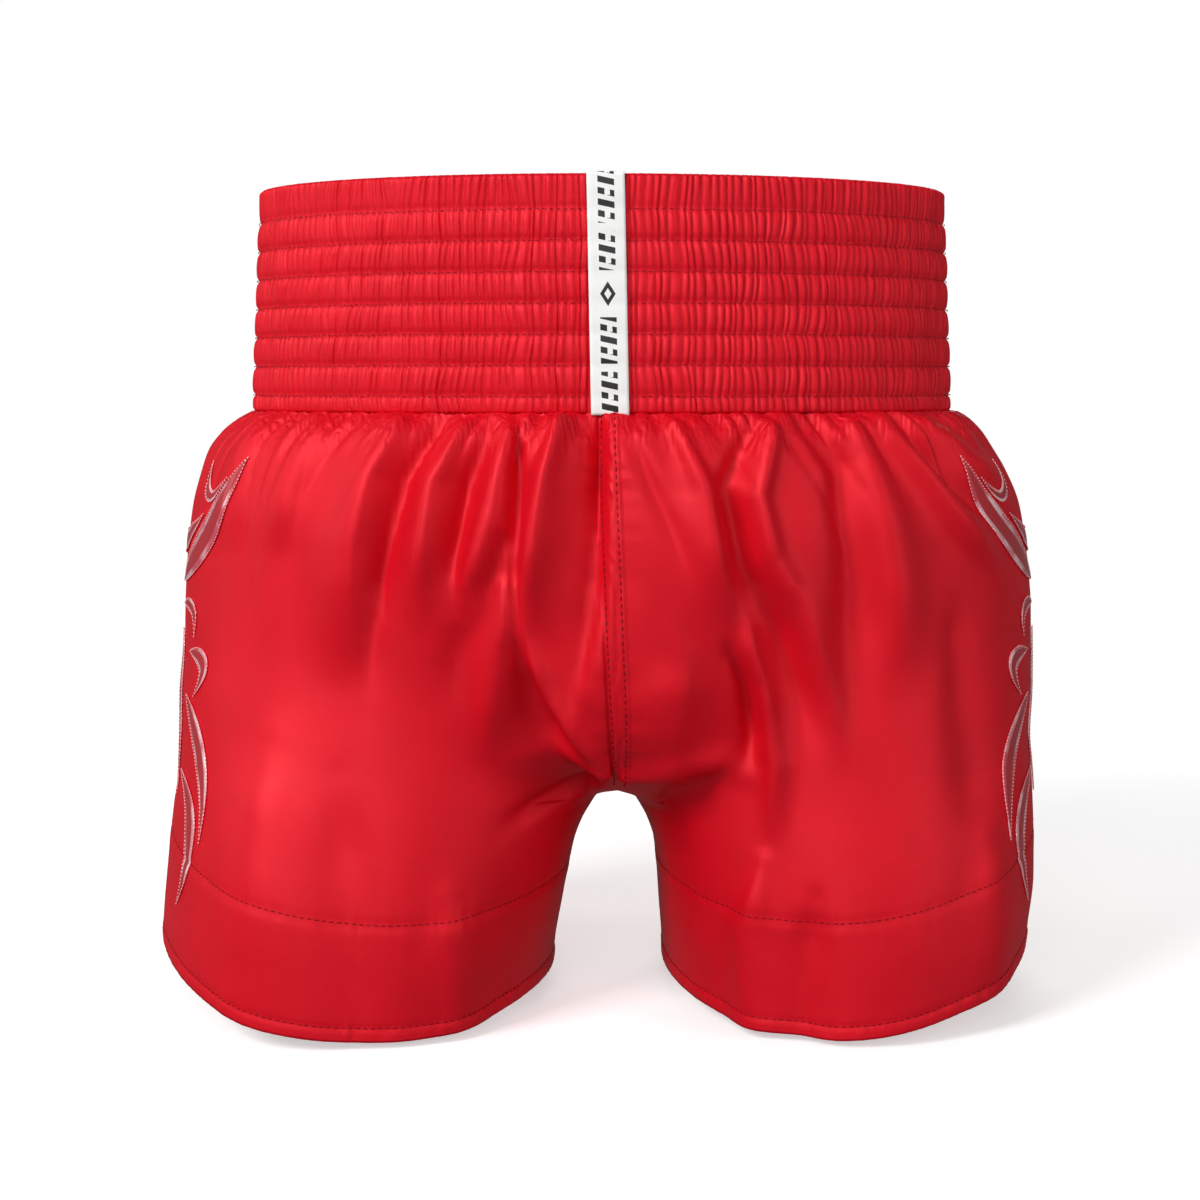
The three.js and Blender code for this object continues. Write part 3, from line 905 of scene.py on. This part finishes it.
@dataclass
class LegPanel:
    """One wrapped leg of satin with its folds, seams and hem."""

    side: Side
    form: LegForm = field(default_factory=LegForm)
    thickness: float = 0.5
    fell_half: float = 3.2
    fell_rise: float = 0.75
    hem_stitch: float = 6.0
    facing_height: float = 50.0
    steps_in_gather: int = 7
    fold_gain: float = 1.55
    front_folds: float = 0.8
    front_scale: float = 0.96
    front_shift: float = 7.0
    side_calm: float = 0.55
    slow_rise: float = 1.6
    full_depth: float = 118.0
    girth: float = 620.0
    hem_run: float = 640.0
    seam_pitch: float = 5.4
    pucker_pitch: float = 8.5
    tuck: float = 2.2

    def gathers(self) -> tuple[GatherSet, ...]:
        """The sets of small folds below the waistband, finest first."""
        seed = 11 if self.side is Side.LEFT else 23
        return (
            GatherSet(51, 4.6, 9.0, 0.1, seed, 0.5),
            GatherSet(23, 4.6, 25.0, 0.16, seed + 1, 0.65),
            GatherSet(9, 3.4, 50.0, 0.2, seed + 2, 0.9),
        )

    def columns(self) -> Array:
        """Places round the panel: on the finest creases, and close together beside both centre seams."""
        per_mm = 1 / self.girth
        near = np.arange(0.0, 6.1, 0.6) * per_mm
        lines = self.gathers()[0].lines()
        steps = np.arange(len(lines) * self.steps_in_gather) / self.steps_in_gather
        middle = np.interp(steps, np.arange(len(lines)), lines)
        middle = middle[(middle > near[-1] + 1.2 * per_mm) & (middle < 1 - near[-1] - 1.2 * per_mm)]
        lap = np.arange(3.6, 0.1, -0.6) * per_mm
        return np.concatenate([-lap, near, middle, (1 - near)[::-1], 1 + lap[::-1]])

    def heights(self) -> Array:
        """Heights of the rows from inside the casing to the hem."""
        form = self.form
        seat = np.sin(np.linspace(0, math.pi / 2, 44)[1:]) ** (2 / form.seat_power)
        rows = [
            np.array([-93.0, -95.5, -97.5]),
            np.arange(-99.0, -132.0, -1.7),
            np.arange(-133.0, form.hip_z - 0.1, -2.4),
            form.hip_z + (form.crotch_z - form.hip_z) * seat,
            np.array([-268.2, -269.6, -271.4, -273.4]),
            np.linspace(-275.8, form.hem_z + 8.5, 32),
            np.linspace(form.hem_z + 7.5, form.hem_z, 7),
        ]
        return np.concatenate(rows)

    def facing_line(self, u: Array) -> Array:
        """Height, before the hem's curve, of the stitching that holds the hem facing."""
        return np.full_like(u, self.form.hem_z + self.facing_height)

    def relief(self, u: Array, z: Array, base: Array) -> Array:
        """Height of every fold and seam over the smooth shape.

        Args:
            u: Share of the way round the panel.
            z: Heights.
            base: Points of the smooth shape there.

        Returns:
            The height at each place.
        """
        x, y = base[..., 0], base[..., 1]
        rise = np.zeros_like(x)
        for gathers in self.gathers():
            rise += gathers.height(u, z) * (1 - self.side_calm * smooth(0.3, 0.42, np.minimum(u, 1 - u)))
        facing = np.where(y < 0, x, -x * self.front_scale + self.front_shift)
        inseam = smooth(-262.0, -275.0, z) * smooth(60.0, 20.0, np.abs(x))
        turned = smooth(0.10, 0.42, np.abs(y) / self.full_depth) * (1 - inseam)
        folds = np.zeros_like(x)
        for fold in BACK_FOLDS:
            folds += fold.height(facing, z)
        scale = np.where(y < 0, 1.0, self.front_folds)
        rise += self.fold_gain * folds * turned * scale * smooth(-97.0, -104.0, z)
        slow = Wander(16 if self.side is Side.LEFT else 28, 0.11, (0.0, 1.0))
        rise += self.slow_rise * slow(u) * smooth(-150.0, -260.0, z) * smooth(0.0, 0.1, np.minimum(u, 1 - u))
        rise = rise * smooth(-97.0, -99.5, z)
        return rise + self.seams(u, z)

    def seams(self, u: Array, z: Array) -> Array:
        """Height of the felled centre seams, the facing stitch line and the hem.

        Args:
            u: Share of the way round the panel.
            z: Heights.

        Returns:
            The height at each place.
        """
        reach = np.where(u > 0.5, 1 - u, u)
        x = reach * self.girth
        fine = Wander(71, 3.1, (-400.0, 0.0))
        above = 1 - smooth(-238.0, -262.0, z)
        wave = np.sin(2 * math.pi * (z + x * 1.1) / self.seam_pitch + 1.5 * fine(z))
        if self.side is Side.RIGHT:
            strip = 1 - smooth(self.fell_half + 0.8, self.fell_half + 2.2, np.abs(x))
            pinch = np.exp(-(((np.abs(x) - self.fell_half) / 0.7) ** 2))
            level = self.fell_rise * strip + 0.5 * wave * np.exp(-((x / 2.6) ** 2)) - 0.4 * pinch
        else:
            level = -1.1 * (1 - smooth(self.fell_half + 0.8, self.fell_half + 3.2, x))
        ripple = np.sin(2 * math.pi * z / self.pucker_pitch + 2.0 * fine(z * 0.7))
        pucker = 0.35 * ripple * np.exp(-((x - 7) / 5.0) ** 2)
        level = (level + pucker * (x > 3.5)) * above
        run = u * self.hem_run
        off = z - self.facing_line(u)
        tick = Wander(91, 2.6, (-10.0, 660.0))
        level = level - 0.45 * np.exp(-((off / 1.3) ** 2)) + 0.15 * np.exp(-(((off + 4.5) / 3.5) ** 2))
        level = level + 0.35 * tick(run) * np.exp(-np.abs(off) / 6.0)
        edge = z - (self.form.hem_z + self.hem_stitch)
        level = level - 0.4 * np.exp(-((edge / 1.1) ** 2)) + 0.25 * (1 - smooth(-2.5, 0.0, edge))
        return level + 0.45 * tick(run * 1.7 % self.hem_run) * np.exp(-(((edge + 2.0) / 4.0) ** 2))

    def shape(self) -> None:
        """Work out the folded face: grid places, points and normals."""
        u, z = np.meshgrid(self.columns(), self.heights())
        base = self.form.point(self.side, u, z)
        angle = math.pi * u - math.pi / 2
        hidden = BandForm().point(angle, z, -self.tuck)
        hidden[..., 0] *= self.side.value
        base = np.where((z > -98.5)[..., None], hidden, base)
        reach = np.abs(np.where(u > 0.5, 1 - u, u))
        normal = grid_normals(base) * self.side.value
        flat = normal.copy()
        flat[..., 0] = 0.0
        flat /= np.maximum(np.linalg.norm(flat, axis=2, keepdims=True), 0.35)
        hold = (smooth(0.012, 0.0, reach) * (z > self.form.crotch_z + 1.0))[..., None]
        normal = normal * (1 - hold) + flat * hold
        normal = blur_rows(normal, 3)
        normal /= np.maximum(np.linalg.norm(normal, axis=2, keepdims=True), 1e-9)
        rise = self.relief(u, z, base)
        self.u, self.z = u, z
        self.points = base + normal * rise[..., None]
        self.normals = grid_normals(self.points) * self.side.value

    def faces(self) -> Faces:
        """Faces of the outer skin; laps stop above the crotch and the tube closes below it."""
        rows, cols = self.u.shape
        first = int(np.argmin(np.abs(self.u[0])))
        last = cols - 1 - first
        quads = grid_faces(rows, cols, flip=self.side is Side.LEFT, down=True)
        made = []
        for r in range(rows - 1):
            low, high = (0, cols - 1) if self.z[r + 1, 0] > self.form.crotch_z + 8 else (first, last)
            made += quads[r * (cols - 1) + low : r * (cols - 1) + high]
        return made

    def build(self, wardrobe: Wardrobe) -> bpy.types.Object:
        self.shape()
        outer = self.points.reshape(-1, 3)
        normal = self.normals.reshape(-1, 3)
        points, faces = closed_shell(outer, outer - normal * self.thickness, self.faces())
        word = self.side.word
        piece = mesh_object(f"{word}_leg_cloth", points, faces, wardrobe.satin)
        return stand_in(piece, f"{word}_leg_panel")

    def at(self, u: Array, z: Array) -> tuple[Array, Array]:
        """Read the folded face between its grid places.

        Args:
            u: Share of the way round the panel.
            z: Heights.

        Returns:
            Points and unit normals.
        """
        cols, rows = self.u[0], self.z[:, 0]
        c = np.clip(np.searchsorted(cols, u) - 1, 0, len(cols) - 2)
        r = np.clip(np.searchsorted(-rows, -np.asarray(z)) - 1, 0, len(rows) - 2)
        s = np.clip((u - cols[c]) / (cols[c + 1] - cols[c]), 0, 1)[..., None]
        t = np.clip((z - rows[r]) / (rows[r + 1] - rows[r]), 0, 1)[..., None]

        def read(grid: Array) -> Array:
            """Bilinear value of one grid."""
            upper = grid[r, c] * (1 - s) + grid[r, c + 1] * s
            lower = grid[r + 1, c] * (1 - s) + grid[r + 1, c + 1] * s
            return upper * (1 - t) + lower * t

        normal = read(self.normals)
        return read(self.points), normal / np.maximum(np.linalg.norm(normal, axis=-1, keepdims=True), 1e-9)


@dataclass
class HemFacing:
    """The strip of the same cloth sewn inside the hem of a leg."""

    panel: LegPanel
    lift: float = 0.9
    thickness: float = 0.4

    def build(self, wardrobe: Wardrobe) -> bpy.types.Object:
        panel = self.panel
        u = np.linspace(0.002, 0.998, 220)
        share = np.linspace(0.0, 1.0, 14)
        grid_u, grid_t = np.meshgrid(u, share)
        top = panel.facing_line(grid_u) - 0.6
        z = top + (panel.form.hem_z + 1.6 - top) * grid_t
        points, normals = panel.at(grid_u, z)
        faces = grid_faces(len(share), len(u), flip=panel.side is Side.LEFT, down=True)
        outer = (points - normals * (panel.thickness + self.lift)).reshape(-1, 3)
        inner = outer - normals.reshape(-1, 3) * self.thickness
        shell, faces = closed_shell(outer, inner, faces)
        word = panel.side.word
        piece = mesh_object(f"{word}_facing_cloth", shell, faces, wardrobe.facing)
        return stand_in(piece, f"{word}_hem_facing")


@dataclass
class Waistband:
    """The gathered casing: one strip folded over the rim, shirred between its stitch rows."""

    form: BandForm = field(default_factory=BandForm)
    gathers: int = 250
    samples: int = 5
    puff: float = 1.0
    bottom_puff: float = 0.55
    inset: float = 1.7
    ripple: float = 1.7
    fullness: float = 0.6
    valley: float = 0.55
    bulge_power: float = 0.4
    jitter: float = 0.34
    wobble: float = 0.42
    lean: float = 1.6
    rows_in_channel: int = 7
    rows_below: int = 5
    rows_inside: int = 20
    rim: tuple[tuple[float, float, float], ...] = (
        (-1.2, 0.2, 0.9), (-0.25, 1.2, 0.7), (0.0, 2.6, 0.55), (-0.25, 4.0, 0.6), (-1.2, 5.0, 0.8),
    )
    seed: int = 5

    def lines(self) -> tuple[Array, Array]:
        """Where each valley crosses each stitch row, as shares of the way round, and each ridge's size."""
        rng = np.random.default_rng(self.seed)
        count = self.gathers
        base = np.arange(count) + rng.uniform(-self.jitter, self.jitter, count)
        rows = len(self.form.rows())
        shift = np.zeros((rows, count))
        where = np.arange(count) / count
        lean = self.lean * np.sin(2 * math.pi * (where - 0.02)) * np.exp(-(((where - 0.12) / 0.12) ** 2))
        for k in range(rows):
            wobble = Wander(self.seed * 31 + k, 0.018, (0.0, 1.0))
            fade = smooth(0.0, 0.02, where) * smooth(1.0, 0.98, where)
            shift[k] = self.wobble * wobble(where) * fade + lean * k / rows * 0.6
        size = rng.uniform(0.5, 1.3, (rows, count)) * (0.6 + 0.8 * rng.random(count))
        size[-1] = size[-2]
        return (base[None] + shift) / count, size

    def section(self) -> list[tuple[float, float, float]]:
        """Section of the casing from its outer bottom edge over the rim and down inside.

        Returns:
            Places on it, as (height, distance in from the outer face, share of the puff and ripple).
        """
        form, rows = self.form, self.form.rows()
        outer: list[float] = []
        for k in range(len(rows) - 1, 0, -1):
            steps = self.rows_below if k == len(rows) - 1 else self.rows_in_channel
            outer += list(np.linspace(rows[k], rows[k - 1], steps, endpoint=False))
        path = [(-form.height + 0.5, 1.4, 0.4)]
        path += [(z, 0.0, 1.0) for z in outer if z < -1.6]
        path += self.rim
        return path + [(z, form.depth, 0.8) for z in np.linspace(-3.0, -form.height, self.rows_inside)]

    def build(self, wardrobe: Wardrobe) -> bpy.types.Object:
        form = self.form
        crossing, size = self.lines()
        path = self.section()
        top = self.rim[len(self.rim) // 2][1]
        count, samples = self.gathers, self.samples
        fraction = np.tile(np.arange(samples) / samples, count)
        cell = np.repeat(np.arange(count), samples)
        after = (cell + 1) % count
        wrap = (cell + 1) // count
        rounded = np.sin(math.pi * fraction) ** self.fullness - self.valley
        layers = []
        for z, depth, share in path:
            k, t = form.place_in_row(z)
            line = crossing[k] * (1 - t) + crossing[k + 1] * t
            here = line[cell] * (1 - fraction) + (line[after] + wrap) * fraction
            angle = form.angle_at(np.mod(here, 1.0))
            bulge = max(0.0, math.sin(math.pi * (t if k > 0 else 0.5 + t / 2))) ** self.bulge_power
            rise = (size[k] * (1 - t) + size[k + 1] * t)[cell] * rounded * self.ripple * (0.35 + 0.65 * bulge)
            puff = self.bottom_puff if k == form.channels else 1.0
            lift = (self.puff * bulge * puff - self.inset) * share
            out = -depth - (lift + rise * share) if depth > top else -depth + lift + rise * share
            layers.append(form.point(angle, np.full(len(here), z), out))
        faces = grid_faces(len(path), count * samples, wrap=True)
        piece = mesh_object("waistband_cloth", np.array(layers).reshape(-1, 3), faces, wardrobe.satin)
        return stand_in(piece, "waistband_casing")

    def stitch_paths(self) -> list[Array]:
        """Lines that the stitch rows follow, just proud of the pinched cloth."""
        share = np.linspace(0.0, 1.0, 900)
        angle = self.form.angle_at(share)
        paths = []
        for k in range(1, self.form.channels + 1):
            z = self.form.row(k)
            wave = Wander(200 + k, 0.004, (0.0, 1.0))(share)
            paths.append(self.form.point(angle, z + 0.18 * wave, -0.55 + 0.25 * np.abs(wave)))
        return paths


@dataclass
class LabelTape:
    """Narrow white tape folded over the back of the rim."""

    form: BandForm = field(default_factory=BandForm)
    width: float = 15.6
    inside: float = 25.0
    thickness: float = 0.35
    clear: float = 0.9
    billow: float = 0.35
    curl: float = 0.12
    cup: float = 0.0018
    lean_at_rim: float = -1.0
    lean_down: float = 1.9

    def build(self, wardrobe: Wardrobe) -> bpy.types.Object:
        form = self.form
        path: list[tuple[float, float, float]] = []
        for z in np.linspace(-form.height - 0.3, -1.0, 92):
            path.append((z, self.clear + self.billow * math.sin(math.pi * form.place_in_row(z)[1]), z))
        for step in range(1, 12):
            turn = math.pi * step / 12
            path.append((0.75 * math.sin(turn), -2.6 + 3.6 * math.cos(turn), 3.4 * step / 12 * 2))
        for z in np.linspace(-1.0, -self.inside, 24):
            path.append((z, -form.depth - 1.0, 7.0 - z))
        across = np.linspace(-0.5, 0.5, 13) * self.width
        points, uvs = [], []
        for z, out, travel in path:
            down = min(1.0, max(0.0, -z / form.height))
            lean = self.lean_at_rim + self.lean_down * down
            curl = self.curl * math.sin(travel * 0.9)
            y = -(form.half_depth + form.flare_depth * down + out)
            for x in across:
                points.append((x + lean, y + self.cup * x * x + curl * (x / self.width), z))
                uvs.append((x * MM, travel * MM))
        outer = np.array(points)
        cols = len(across)
        faces = grid_faces(len(path), cols)
        normal = grid_normals(outer.reshape(len(path), cols, 3)).reshape(-1, 3)
        shell, faces = closed_shell(outer, outer + normal * self.thickness, faces)
        piece = mesh_object("label_tape_cloth", shell, faces, wardrobe.label)
        uv_from_points(piece, "tape", np.array(uvs * 2))
        return stand_in(piece, "back_label_tape")


@dataclass(frozen=True)
class BladeDesign:
    """A curved leaf: (mm towards the back from the side line, z) at its tail, bend and tip."""

    name: str
    tail: tuple[float, float]
    bend: tuple[float, float]
    tip: tuple[float, float]
    half: float


BLADES: tuple[BladeDesign, ...] = (
    BladeDesign("claw_blade", (36, -120), (42, -146), (57, -127), 2.6),
    BladeDesign("upper_blade", (14, -174), (54, -158), (64, -118), 7.0),
    BladeDesign("hip_blade", (-24, -158), (14, -162), (41, -143), 5.0),
    BladeDesign("spur_blade", (22, -184), (44, -180), (41, -197), 2.8),
    BladeDesign("side_blade", (18, -196), (22, -240), (28, -290), 5.0),
    BladeDesign("hook_blade", (37, -204), (66, -203), (49, -223), 4.0),
    BladeDesign("long_blade", (38, -224), (70, -248), (79, -298), 6.0),
    BladeDesign("hem_blade", (36, -272), (84, -292), (60, -332), 6.0),
)


@dataclass
class SideBlade:
    """One foil blade sewn on the side of a leg, with its edge thread."""

    panel: LegPanel
    design: BladeDesign
    lift: float = 0.25
    thickness: float = 0.3
    crown: float = 0.3

    def place(self, spine: Array, offset: Array) -> tuple[Array, Array]:
        """Find places on the cloth.

        Args:
            spine: Places along the leaf, as (mm towards the back from the side line, z).
            offset: What is added to each of them.

        Returns:
            Points and unit normals.
        """
        flat = spine + offset
        form, side = self.panel.form, self.panel.side
        ends = [form.point(side, np.full_like(flat[..., 1], u), flat[..., 1]) for u in (0.46, 0.54)]
        pace = np.linalg.norm(ends[1] - ends[0], axis=-1) / 0.08
        return self.panel.at(0.5 - flat[..., 0] / pace, flat[..., 1])

    def outline(self, steps: int, share: Array) -> tuple[Array, Array]:
        """Lay out the leaf.

        Args:
            steps: Points along its spine.
            share: Shares of its half width at which lines run.

        Returns:
            The spine's points, and each line's offset from them.
        """
        t = np.linspace(0.0, 1.0, steps)[:, None]
        tail, bend, tip = (np.array(p, float) for p in (self.design.tail, self.design.bend, self.design.tip))
        spine = tail * (1 - t) ** 2 + 2 * bend * t * (1 - t) + tip * t * t
        tangent = np.gradient(spine, axis=0)
        tangent /= np.linalg.norm(tangent, axis=1, keepdims=True)
        side = np.stack([-tangent[:, 1], tangent[:, 0]], axis=1)
        half = self.design.half * np.sin(math.pi * np.clip(t, 0.004, 0.996) ** 0.8)
        return spine[:, None], side[:, None] * (half * share[None])[..., None]

    def build(self, wardrobe: Wardrobe) -> bpy.types.Object:
        share = np.linspace(-1.0, 1.0, 11)
        spine, offset = self.outline(48, share)
        points, normals = self.place(spine, offset)
        rows, cols = points.shape[:2]
        crown = (self.lift + self.crown * (1 - share**2))[None, :, None]
        outer = (points + normals * (crown + self.thickness)).reshape(-1, 3)
        inner = (points + normals * self.lift).reshape(-1, 3)
        shell, faces = closed_shell(outer, inner, grid_faces(rows, cols, flip=self.panel.side is Side.RIGHT))
        node = f"{self.panel.side.word}_{self.design.name}"
        piece = mesh_object(f"{node}_foil", shell, faces, wardrobe.foil)
        along, over = np.meshgrid(np.linspace(0, 1, rows), share, indexing="ij")
        uv = np.stack([over.ravel(), along.ravel()], axis=1)
        uv_from_points(piece, "blade", np.vstack([uv, uv]))
        return stand_in(piece, node)

    def edge_paths(self) -> list[Array]:
        """Lines of bright thread along both edges."""
        spine, offset = self.outline(60, np.array([-1.0, 1.0]))
        points, normals = self.place(spine, offset)
        raised = points + normals * (self.lift + self.thickness + 0.1)
        return [raised[:, 0], raised[:, 1]]


@dataclass
class StitchRun:
    """Stitches laid end to end along lines by Geometry Nodes."""

    name: str
    paths: list[Array]
    material: bpy.types.Material
    slot: Slot
    pitch: float = 3.0
    length: float = 2.1
    radius: float = 0.22

    def sizes(self) -> dict[str, float]:
        """Sizes the node group takes, in metres."""
        return {"Pitch": self.pitch * MM, "Length": self.length * MM, "Radius": self.radius * MM}

    def tree(self) -> bpy.types.NodeTree:
        """Node group: line to curve, even points, one capsule each, realised."""
        tree = bpy.data.node_groups.new(f"{self.name}_tree", "GeometryNodeTree")
        face = tree.interface
        face.new_socket("Lines", in_out="INPUT", socket_type="NodeSocketGeometry")
        for label, value in self.sizes().items():
            face.new_socket(label, in_out="INPUT", socket_type="NodeSocketFloat").default_value = value
        face.new_socket("Stitches", in_out="OUTPUT", socket_type="NodeSocketGeometry")
        made = {}
        for key, kind in (
            ("in", "NodeGroupInput"), ("out", "NodeGroupOutput"), ("curve", "GeometryNodeMeshToCurve"),
            ("even", "GeometryNodeResampleCurve"), ("line", "GeometryNodeInputTangent"),
            ("turn", "FunctionNodeAlignRotationToVector"), ("put", "GeometryNodeInstanceOnPoints"),
            ("bead", "GeometryNodeMeshUVSphere"), ("scale", "ShaderNodeCombineXYZ"),
            ("real", "GeometryNodeRealizeInstances"), ("paint", "GeometryNodeSetMaterial"),
            ("smooth", "GeometryNodeSetShadeSmooth"), ("half", "ShaderNodeMath"),
        ):
            made[key] = tree.nodes.new(kind)
        made["even"].mode = "LENGTH"
        made["turn"].axis = "Z"
        made["half"].operation = "MULTIPLY"
        for key, entry, value in (
            ("half", 1, 0.5), ("bead", "Segments", 6), ("bead", "Rings", 4), ("bead", "Radius", 1.0),
            ("paint", "Material", self.material),
        ):
            made[key].inputs[entry].default_value = value
        for source, leaves, target, enters in (
            ("in", "Lines", "curve", "Mesh"), ("curve", "Curve", "even", "Curve"),
            ("in", "Pitch", "even", "Length"), ("line", "Tangent", "turn", "Vector"),
            ("even", "Curve", "put", "Points"), ("bead", "Mesh", "put", "Instance"),
            ("turn", "Rotation", "put", "Rotation"), ("in", "Length", "half", 0),
            ("in", "Radius", "scale", 0), ("in", "Radius", "scale", 1), ("half", 0, "scale", 2),
            ("scale", 0, "put", "Scale"), ("put", "Instances", "real", "Geometry"),
            ("real", "Geometry", "smooth", "Geometry"), ("smooth", "Geometry", "paint", "Geometry"),
            ("paint", "Geometry", "out", "Stitches"),
        ):
            tree.links.new(made[source].outputs[leaves], made[target].inputs[enters])
        return tree

    def build(self) -> bpy.types.Object:
        """Run the nodes over the lines and keep the plain mesh."""
        points = np.vstack(self.paths) * MM
        edges, start = [], 0
        for path in self.paths:
            edges += [(start + k, start + k + 1) for k in range(len(path) - 1)]
            start += len(path)
        mesh = bpy.data.meshes.new(f"{self.name}_lines")
        mesh.from_pydata(points.tolist(), edges, [])
        source = bpy.data.objects.new(f"{self.name}_source", mesh)
        bpy.context.scene.collection.objects.link(source)
        modifier = source.modifiers.new("stitches", "NODES")
        modifier.node_group = self.tree()
        sizes = self.sizes()
        for item in modifier.node_group.interface.items_tree:
            if item.name in sizes:
                modifier[item.identifier] = sizes[item.name]
        graph = bpy.context.evaluated_depsgraph_get()
        made = bpy.data.meshes.new_from_object(source.evaluated_get(graph))
        bpy.data.objects.remove(source)
        made.name = self.name
        piece = bpy.data.objects.new(self.name, made)
        bpy.context.scene.collection.objects.link(piece)
        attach(piece, "root")
        return report(piece)


@dataclass
class Studio:
    """Camera, lights, floor and backdrop."""

    distance: float = 990.0
    swing: float = 1.2
    sensor_mm: float = 36.0
    lens_mm: float = 64.35
    eye_z: float = -84.0
    pitch: float = math.atan(4 / 39)
    shift: float = -1 / 480
    target: tuple[float, float, float] = (0.0, -0.05, -0.19)
    world: float = 0.16

    def camera(self) -> None:
        """Place the camera."""
        data = bpy.data.cameras.new("camera")
        data.sensor_width = self.sensor_mm
        data.lens = self.lens_mm
        data.clip_start = 0.05
        data.clip_end = 60.0
        data.shift_x = self.shift
        eye = bpy.data.objects.new("camera", data)
        bpy.context.scene.collection.objects.link(eye)
        turn = math.radians(self.swing)
        eye.location = Vector((-math.sin(turn), -math.cos(turn), 0.0)) * self.distance * MM
        eye.location.z = self.eye_z * MM
        eye.rotation_euler = (math.pi / 2 - self.pitch, 0.0, -turn)
        bpy.context.scene.camera = eye

    def area(self, name: str, place: tuple, size: tuple, power: float) -> None:
        """Add a soft rectangular light aimed at the shorts.

        Args:
            name: Name of the light.
            place: Where it stands, in metres.
            size: Its width and height, in metres.
            power: Its power in watts.
        """
        data = bpy.data.lights.new(name, "AREA")
        data.shape = "RECTANGLE"
        data.size, data.size_y = size
        data.energy = power
        lamp = bpy.data.objects.new(name, data)
        bpy.context.scene.collection.objects.link(lamp)
        lamp.location = place
        lamp.rotation_euler = (Vector(self.target) - Vector(place)).to_track_quat("-Z", "Y").to_euler()

    def build(self) -> None:
        """Light the shorts and lay the floor."""
        self.area("key", (-1.6, -1.6, 1.2), (0.9, 0.9), 46.0)
        self.area("front", (-0.3, -2.5, 0.7), (1.2, 1.6), 20.0)
        self.area("rim_left", (-1.9, 0.1, 0.5), (0.7, 1.4), 6.0)
        self.area("fill_right", (1.75, -1.25, 0.35), (0.9, 1.4), 10.0)
        self.area("back", (0.2, 2.3, 1.0), (1.4, 1.2), 24.0)
        world = bpy.data.worlds.new("studio")
        bpy.context.scene.world = world
        world.use_nodes = True
        world.node_tree.nodes["Background"].inputs[0].default_value = (1.0, 1.0, 1.0, 1.0)
        world.node_tree.nodes["Background"].inputs[1].default_value = self.world
        view = bpy.context.scene.view_settings
        view.view_transform = "Standard"
        view.look = "None"
        self.floor()
        self.dome()

    def floor(self) -> None:
        """Pale floor just under the hems."""
        z = LegForm().hem_z - 3.0
        reach = 9000.0
        corners = np.array([(-reach, -reach, z), (reach, -reach, z), (reach, reach, z), (-reach, reach, z)])
        floor = mesh_object("floor", corners, [(0, 1, 2, 3)], PaleFloor().build())
        floor.visible_diffuse = False
        floor.visible_glossy = False

    def dome(self) -> None:
        """White surround seen only by the camera."""
        ring = np.linspace(0, 2 * math.pi, 48, endpoint=False)
        levels = [(-1200.0, 8900.0), (3000.0, 8900.0), (7000.0, 6000.0), (9000.0, 10.0)]
        points = [(r * math.cos(a), r * math.sin(a), z) for z, r in levels for a in ring]
        faces = grid_faces(len(levels), len(ring), wrap=True)
        shell = mesh_object("surround", np.array(points), faces, WhiteSurround().build())
        shell.visible_diffuse = False
        shell.visible_glossy = False
        shell.visible_shadow = False
        shell.visible_transmission = False


@dataclass
class Shorts:
    """The whole garment."""

    wardrobe: Wardrobe = field(default_factory=Wardrobe)
    thread_lift: float = 0.12

    def build(self) -> None:
        cloth = self.wardrobe
        band = Waistband()
        casing = band.build(cloth)
        for k in range(1, band.form.channels + 1):
            self.dress(f"elastic_row_{k}", cloth.elastic)
        tape = LabelTape().build(cloth)
        paths = band.stitch_paths()
        threads = [StitchRun("waistband_stitches", paths, cloth.red_thread, Slot.SATIN, 2.9, 2.0, 0.2)]
        for side in Side:
            threads += self.leg(side, casing)
        for run in threads:
            run.build()

    def leg(self, side: Side, casing: bpy.types.Object) -> list[StitchRun]:
        """Build one leg.

        Args:
            side: Which leg.
            casing: The waistband that it hangs from; not used.

        Returns:
            The stitching that it needs.
        """
        cloth = self.wardrobe
        panel = LegPanel(side)
        piece = panel.build(cloth)
        facing = HemFacing(panel).build(cloth)
        u = np.linspace(0.004, 0.996, 700)
        lines = []
        for z in (panel.facing_line(u), np.full_like(u, panel.form.hem_z + panel.hem_stitch)):
            points, normals = panel.at(u, z)
            lines.append(points + normals * self.thread_lift)
        if side is Side.RIGHT:
            z = np.linspace(-99.0, -256.0, 260)
            for start, inward in ((0.0, 1.0), (1.0, -1.0)):
                for x in (-panel.fell_half, panel.fell_half):
                    points, normals = panel.at(np.full_like(z, start + inward * x / panel.girth), z)
                    lines.append(points + normals * self.thread_lift)
        runs = [StitchRun(f"{side.word}_leg_stitches", lines, cloth.red_thread, Slot.SATIN, 3.1, 2.2, 0.3)]
        edges = []
        for design in BLADES:
            blade = SideBlade(panel, design)
            blade.build(cloth)
            edges += blade.edge_paths()
        runs.append(
            StitchRun(f"{side.word}_blade_thread", edges, cloth.bright_thread, Slot.FOIL, 1.7, 1.15, 0.32)
        )
        return runs

    def dress(self, node: str, material: bpy.types.Material) -> None:
        """Give a CAD node its finish."""
        piece = bpy.data.objects[node]
        piece.data.materials.clear()
        piece.data.materials.append(material)
        report(piece)


def main() -> None:
    """Set the camera, build the shorts, then light them."""
    logging.basicConfig(level=logging.INFO, format="%(message)s")
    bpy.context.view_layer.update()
    studio = Studio()
    studio.camera()
    Shorts().build()
    studio.build()


if __name__ == "__main__":
    main()
